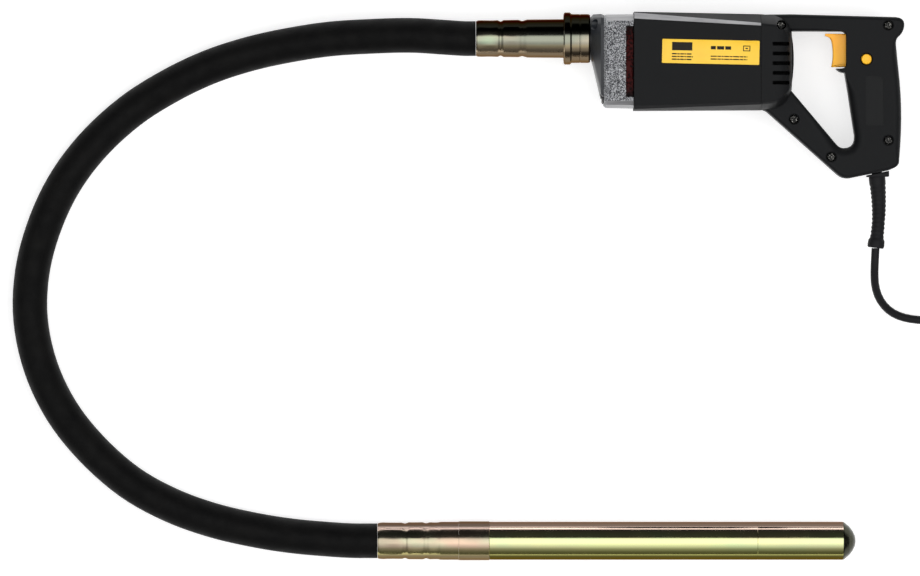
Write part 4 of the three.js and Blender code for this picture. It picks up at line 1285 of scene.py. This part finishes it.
# %% Rear cover, baffle and slots
cover = lofted("cover", COVER_RINGS)
bow = drawn((298, 231), (306.2, 232.4), (310.6, 208.4, 306.0, 182.4), (298, 184))
room_rings = [(276, REAR_TOP, REAR_BOTTOM), *COVER_RINGS[1:-1]]
whole = carve(dee, cover, slab("cover_bow", bow, 26, 66, 2.2), operation="UNION")
carve(whole, lofted("cover_room", [(min(x, 303.4), top, low) for x, top, low in room_rings], 3.0))
carve(whole, brick("baffle", (286, 304.6), (176, 236), (20, 22)), operation="UNION")
for index in range(5):
    reach = 304.8 - abs(index - 2) * 0.5
    for drift, low_z, high_z in ((0, 45, 100), (-4.45, -10, 19)):
        y = 222.1 - 8.9 * index + drift
        mouth_line = [(288.4, y - 1.75), (reach, y - 1.75), (reach, y + 1.75), (288.4, y + 1.75)]
        carve(whole, slab("vent", eased(mouth_line, 0.8, closed=True), low_z, high_z, 0.01, steps=1))
print("cooling slots on each side:", 5)

# %% [markdown]
# The two shells are the same drawing, cut at the middle plane. The rooms inside are cut before the
# shells are parted, as the two halves of an injection mould would form them: one for the switch, a
# slot for the trigger, one in the grip, and a way out for the lead with a groove for its collar.

# %% Rooms and the parting
ROOMS = [
    ("switch_room", (359.5, 399), (180, 232.6), 13),
    ("trigger_slot", (346, 360.5), (200.9, 232.3), 8.8),
    ("grip_room", (372, 396), (143, 181), 13),
    ("cord_way", (377.6, 389.2), (100, 144), 6),
    ("collar_way", (375, 394.6), (109.2, 115.2), 9.6),
]
for name, x, y, half in ROOMS:
    carve(whole, brick(name, x, y, (MOTOR_Z - half, MOTOR_Z + half)))
right = bpy.data.objects.new("handle_right", whole.data.copy())
scene.collection.objects.link(right)
left = whole
left.name = "handle_left"
carve(left, brick("upper", (200, 500), (0, 300), (MOTOR_Z + 0.15, 120)), operation="INTERSECT")
carve(right, brick("lower", (200, 500), (0, 300), (-40, MOTOR_Z - 0.15)), operation="INTERSECT")
print("rooms:", len(ROOMS), "| gap between the shells in mm:", 0.3)

# %% [markdown]
# Only the left shell carries the screw heads and the lock button, each in its own countersunk
# well. Both shells have a shallow grained panel in the grip, under the palm.

# %% Wells, panels and screws of the handle
HANDLE_SCREWS = [(296.8, 239.6), (395, 239.4), (308.6, 153.4), (342.7, 118.8), (395, 134.1)]
LOCK = (374.9, 208.4)
for spot in HANDLE_SCREWS:
    in_cover = spot[0] < COVER_RINGS[-1][0] and spot[1] > MOTOR_Y
    well = [(57.9, 4.5), (90, 4.5)] if in_cover else [(57.9, 4.5), (61.2, 4.5), (62.8, 5.9), (66, 5.9)]
    carve(left, turned("recess", well, spot, "Z", ease=0.01, segments=40))
lock_well = [(50, 5.3), (61.2, 5.3), (62.4, 6.3), (66, 6.3)]
carve(left, turned("lock_hole", lock_well, LOCK, "Z", ease=0.01, segments=40))
panel = drawn((374.2, 147.4), (391.0, 147.4), (390.6, 190.6), (382, 194.6, 374.2, 192.2))
grip_panel = material("grip_panel", grained((0.0092, 0.0096, 0.0100), 0.42, 0.00006, 1300))
for shell, low, high in ((left, 61.3, 64), (right, 22, 24.7)):
    carve(shell, slab("panel", eased(panel, 1.2, closed=True), low, high, 0.01, steps=1))
for shell, node in ((left, "handle_shell_left"), (right, "handle_shell_right")):
    soften(shell, 0.35, angle=38, sharp=38)
    dress(shell, node)
    shell.data.materials.append(grip_panel)
    for polygon in shell.data.polygons:
        depth = min(abs(polygon.center.z - z * MM) for z in (61.3, 24.7))
        if depth < 0.0001 and polygon.area > 1e-5 and abs(polygon.normal.z) > 0.99:
            polygon.material_index = 1
for index, spot in enumerate(HANDLE_SCREWS):
    screw(f"shell_screw_{index + 1}", f"handle_screw_{index + 1}", spot, "Z", 60.6, 1)
print("left shell faces:", len(left.data.polygons), "| right:", len(right.data.polygons))

# %% [markdown] ## Trigger and lock button The trigger is squeezed with two fingers, so its face
# is hollow and its rims are round. The lock button is pressed in to hold the trigger; its dished
# top tells the thumb where it is.

# %% Trigger, lock button and return spring
trigger_outline = drawn(
    (337.4, 232), (356.6, 231.8), (365.4, 227), (365.4, 206), (356.6, 201.5), (343, 201.3),
    (344.8, 208, 344.4, 216), (344, 224.5, 342.4, 227), (340.8, 229.4, 337.4, 229.8),
)
trigger_outline = eased(trigger_outline, 0.5, closed=True)
rims = [min(1.3, max(0.35, (x - 338) / 3)) for x, _ in trigger_outline]
trigger = slab("trigger_moulding", trigger_outline, 35, 51, rims, steps=4)
dress(trigger, "trigger")
dished = [(55.4, 4.7), (62.0, 4.7), (63.0, 3.9), (62.6, 2.6), (62.3, 0.4)]
button = turned("lock_button_cap", dished, LOCK, "Z", ease=0.6, segments=48)
dress(button, "lock_button")
wound = [(math.tau * step / 18, 366.5 + 6.8 * step / 72) for step in range(73)]
wire = [Vector((x, 216 + 3 * math.cos(turn), MOTOR_Z + 3 * math.sin(turn))) for turn, x in wound]
spring = dress(tube("return_spring", wire, 0.45, 10), "trigger_spring")
at(373.3, 216, MOTOR_Z)
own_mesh(spring)
print("spring wire in mm:", round(length_of(wire)))

# %% [markdown]
# ## The sleeve at the foot of the grip
# The strain relief is a soft sleeve, clamped by its collar between the shells. It widens towards
# its free end and bows a little under the lead's weight. Fine rings let it bend.

# %% Strain relief
sleeve_line = []
for step in range(77):
    bow = 2.4 * math.sin(math.pi * min(step, 66) / 66) + 1.2 * step / 66
    sleeve_line.append(Vector((383.8 + bow, 35.5 + step, MOTOR_Z)))
SLEEVE = [(0, 7.0), (1, 7.6), (3, 7.8), (7, 7.5), (9, 6.3), (24, 6.1), (46, 6.9), (60.5, 7.6), (66, 7.6),
          (67, 4.7), (76, 4.6)]


def sleeve_radius(run):
    for (a, r), (b, s) in zip(SLEEVE, SLEEVE[1:]):
        if run <= b:
            plain = r + (s - r) * (run - a) / (b - a)
            return plain - (0.45 if 12 < run < 58 and run % 4 < 1.5 else 0)
    return SLEEVE[-1][1]


sleeve = tube("strain_sleeve", sleeve_line, sleeve_radius, 36, sharp=50)
for corners in ([(375.9, 110), (393.7, 110), (393.7, 114.4), (375.9, 114.4)],
                [(375.4, 100.4), (396, 100.8), (396, 106.2), (375.4, 102.0)]):
    collar = eased(corners, 1.0, closed=True)
    carve(sleeve, slab("collar", collar, MOTOR_Z - 8.8, MOTOR_Z + 8.8, 0.8), operation="UNION")
shade(sleeve, 50)
dress(sleeve, "strain_relief")
print("sleeve line in mm:", round(length_of(sleeve_line)))

# %% [markdown]
# ## The rating label
# The label is a printed film. Its words aren't part of the lesson, so blocks and short bars stand
# in the same places and leave the same rhythm. They are a few hundredths thick, as ink is.

# %% Label film
LABEL = {"x": 231.8, "y": 214.6, "wide": 89, "tall": 22, "turn": math.radians(-1.2), "top": 86.8}


def on_label(u, v):
    """From millimetres right of and below the label's corner to the drawing."""
    x, y = u - LABEL["wide"] / 2, LABEL["tall"] / 2 - v
    turn = LABEL["turn"]
    return (LABEL["x"] + x * math.cos(turn) - y * math.sin(turn),
            LABEL["y"] + x * math.sin(turn) + y * math.cos(turn))


film = [(0, 0), (LABEL["wide"], 0), (LABEL["wide"], LABEL["tall"]), (0, LABEL["tall"])]
film = [on_label(*p) for p in eased(film, 0.9, closed=True)]
label = slab("label_film", film, 86.3, LABEL["top"], 0.12, steps=2)
dress(label, "rating_label")
print("label in mm:", LABEL["wide"], "by", LABEL["tall"])

# %% [markdown]
# The print is a set of small raised bars: one dark block, rows of dashes, a row of thicker ones and
# an empty box. `dashes` repeats a few lengths so that the rows have an uneven, written rhythm.

# %% Print on the label
def bars(name, boxes):
    """Many small raised bars, (left, top, wide, tall), as one printed piece."""
    points, faces = [], []
    for left_edge, top_edge, wide, tall in boxes:
        corners = [(left_edge, top_edge), (left_edge + wide, top_edge), (left_edge + wide, top_edge + tall),
                   (left_edge, top_edge + tall)]
        rings = [[(*on_label(*c), h) for c in corners] for h in (LABEL["top"] - 0.05, LABEL["top"] + 0.05)]
        made, sides = skin(rings)
        faces += [tuple(i + len(points) for i in face) for face in sides]
        points += made
    piece = mesh_piece(name, points, faces)
    piece.data.materials.append(ink)
    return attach(piece, "machine")


def dashes(left_edge, top_edge, wide, tall, lengths, gap):
    """A row of short bars that fills the given width."""
    made, u, k = [], left_edge, 0
    while u < left_edge + wide - 0.5:
        reach = min(lengths[k % len(lengths)], left_edge + wide - u)
        made.append((u, top_edge, reach, tall))
        u += reach + gap
        k += 1
    return made


printed = [(9, 2.6, 18.6, 7.6)]
for row, wide in ((12.8, 18.6), (15.3, 19.2), (17.8, 18.2)):
    printed += dashes(9, row, wide, 1.15, (4.4, 2.1, 3.2, 1.4), 0.6)
printed += dashes(44.5, 5.6, 18.5, 3.1, (4.6, 6.4, 5.8), 1.1)
for row in (14.4, 17.0):
    printed += dashes(44.5, row, 33.5, 1.05, (5.6, 3.2, 1.8, 4.4, 2.4), 0.6)
printed += [(74, 4.6, 6.6, 0.8), (74, 9.0, 6.6, 0.8), (74, 4.6, 0.8, 5.2), (79.8, 4.6, 0.8, 5.2)]
printed.append((76.2, 6.6, 2.2, 1.2))
print("printed bars:", len(bars("label_print", printed).data.polygons) // 6)

# %% [markdown]
# ## Everything inside
# The motor, the gears, the bearings, the switch and the eccentric weight are seen only through the
# windows and the vents. Their shapes come straight from the mechanical model; here each one only
# gets the finish that its slot in the record names.

# %% Inner pieces
hidden = {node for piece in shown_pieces() for node in piece.get("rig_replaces", [])}
inner = [node for node in sorted(frame["nodes"]) if node not in hidden]
for node in inner:
    mesh = frame["nodes"][node].data
    mesh.materials.clear()
    mesh.materials.append(finishes[slot_of_node[node]])
print("inner pieces from the model:", len(inner), "| built here:", len(dressed))
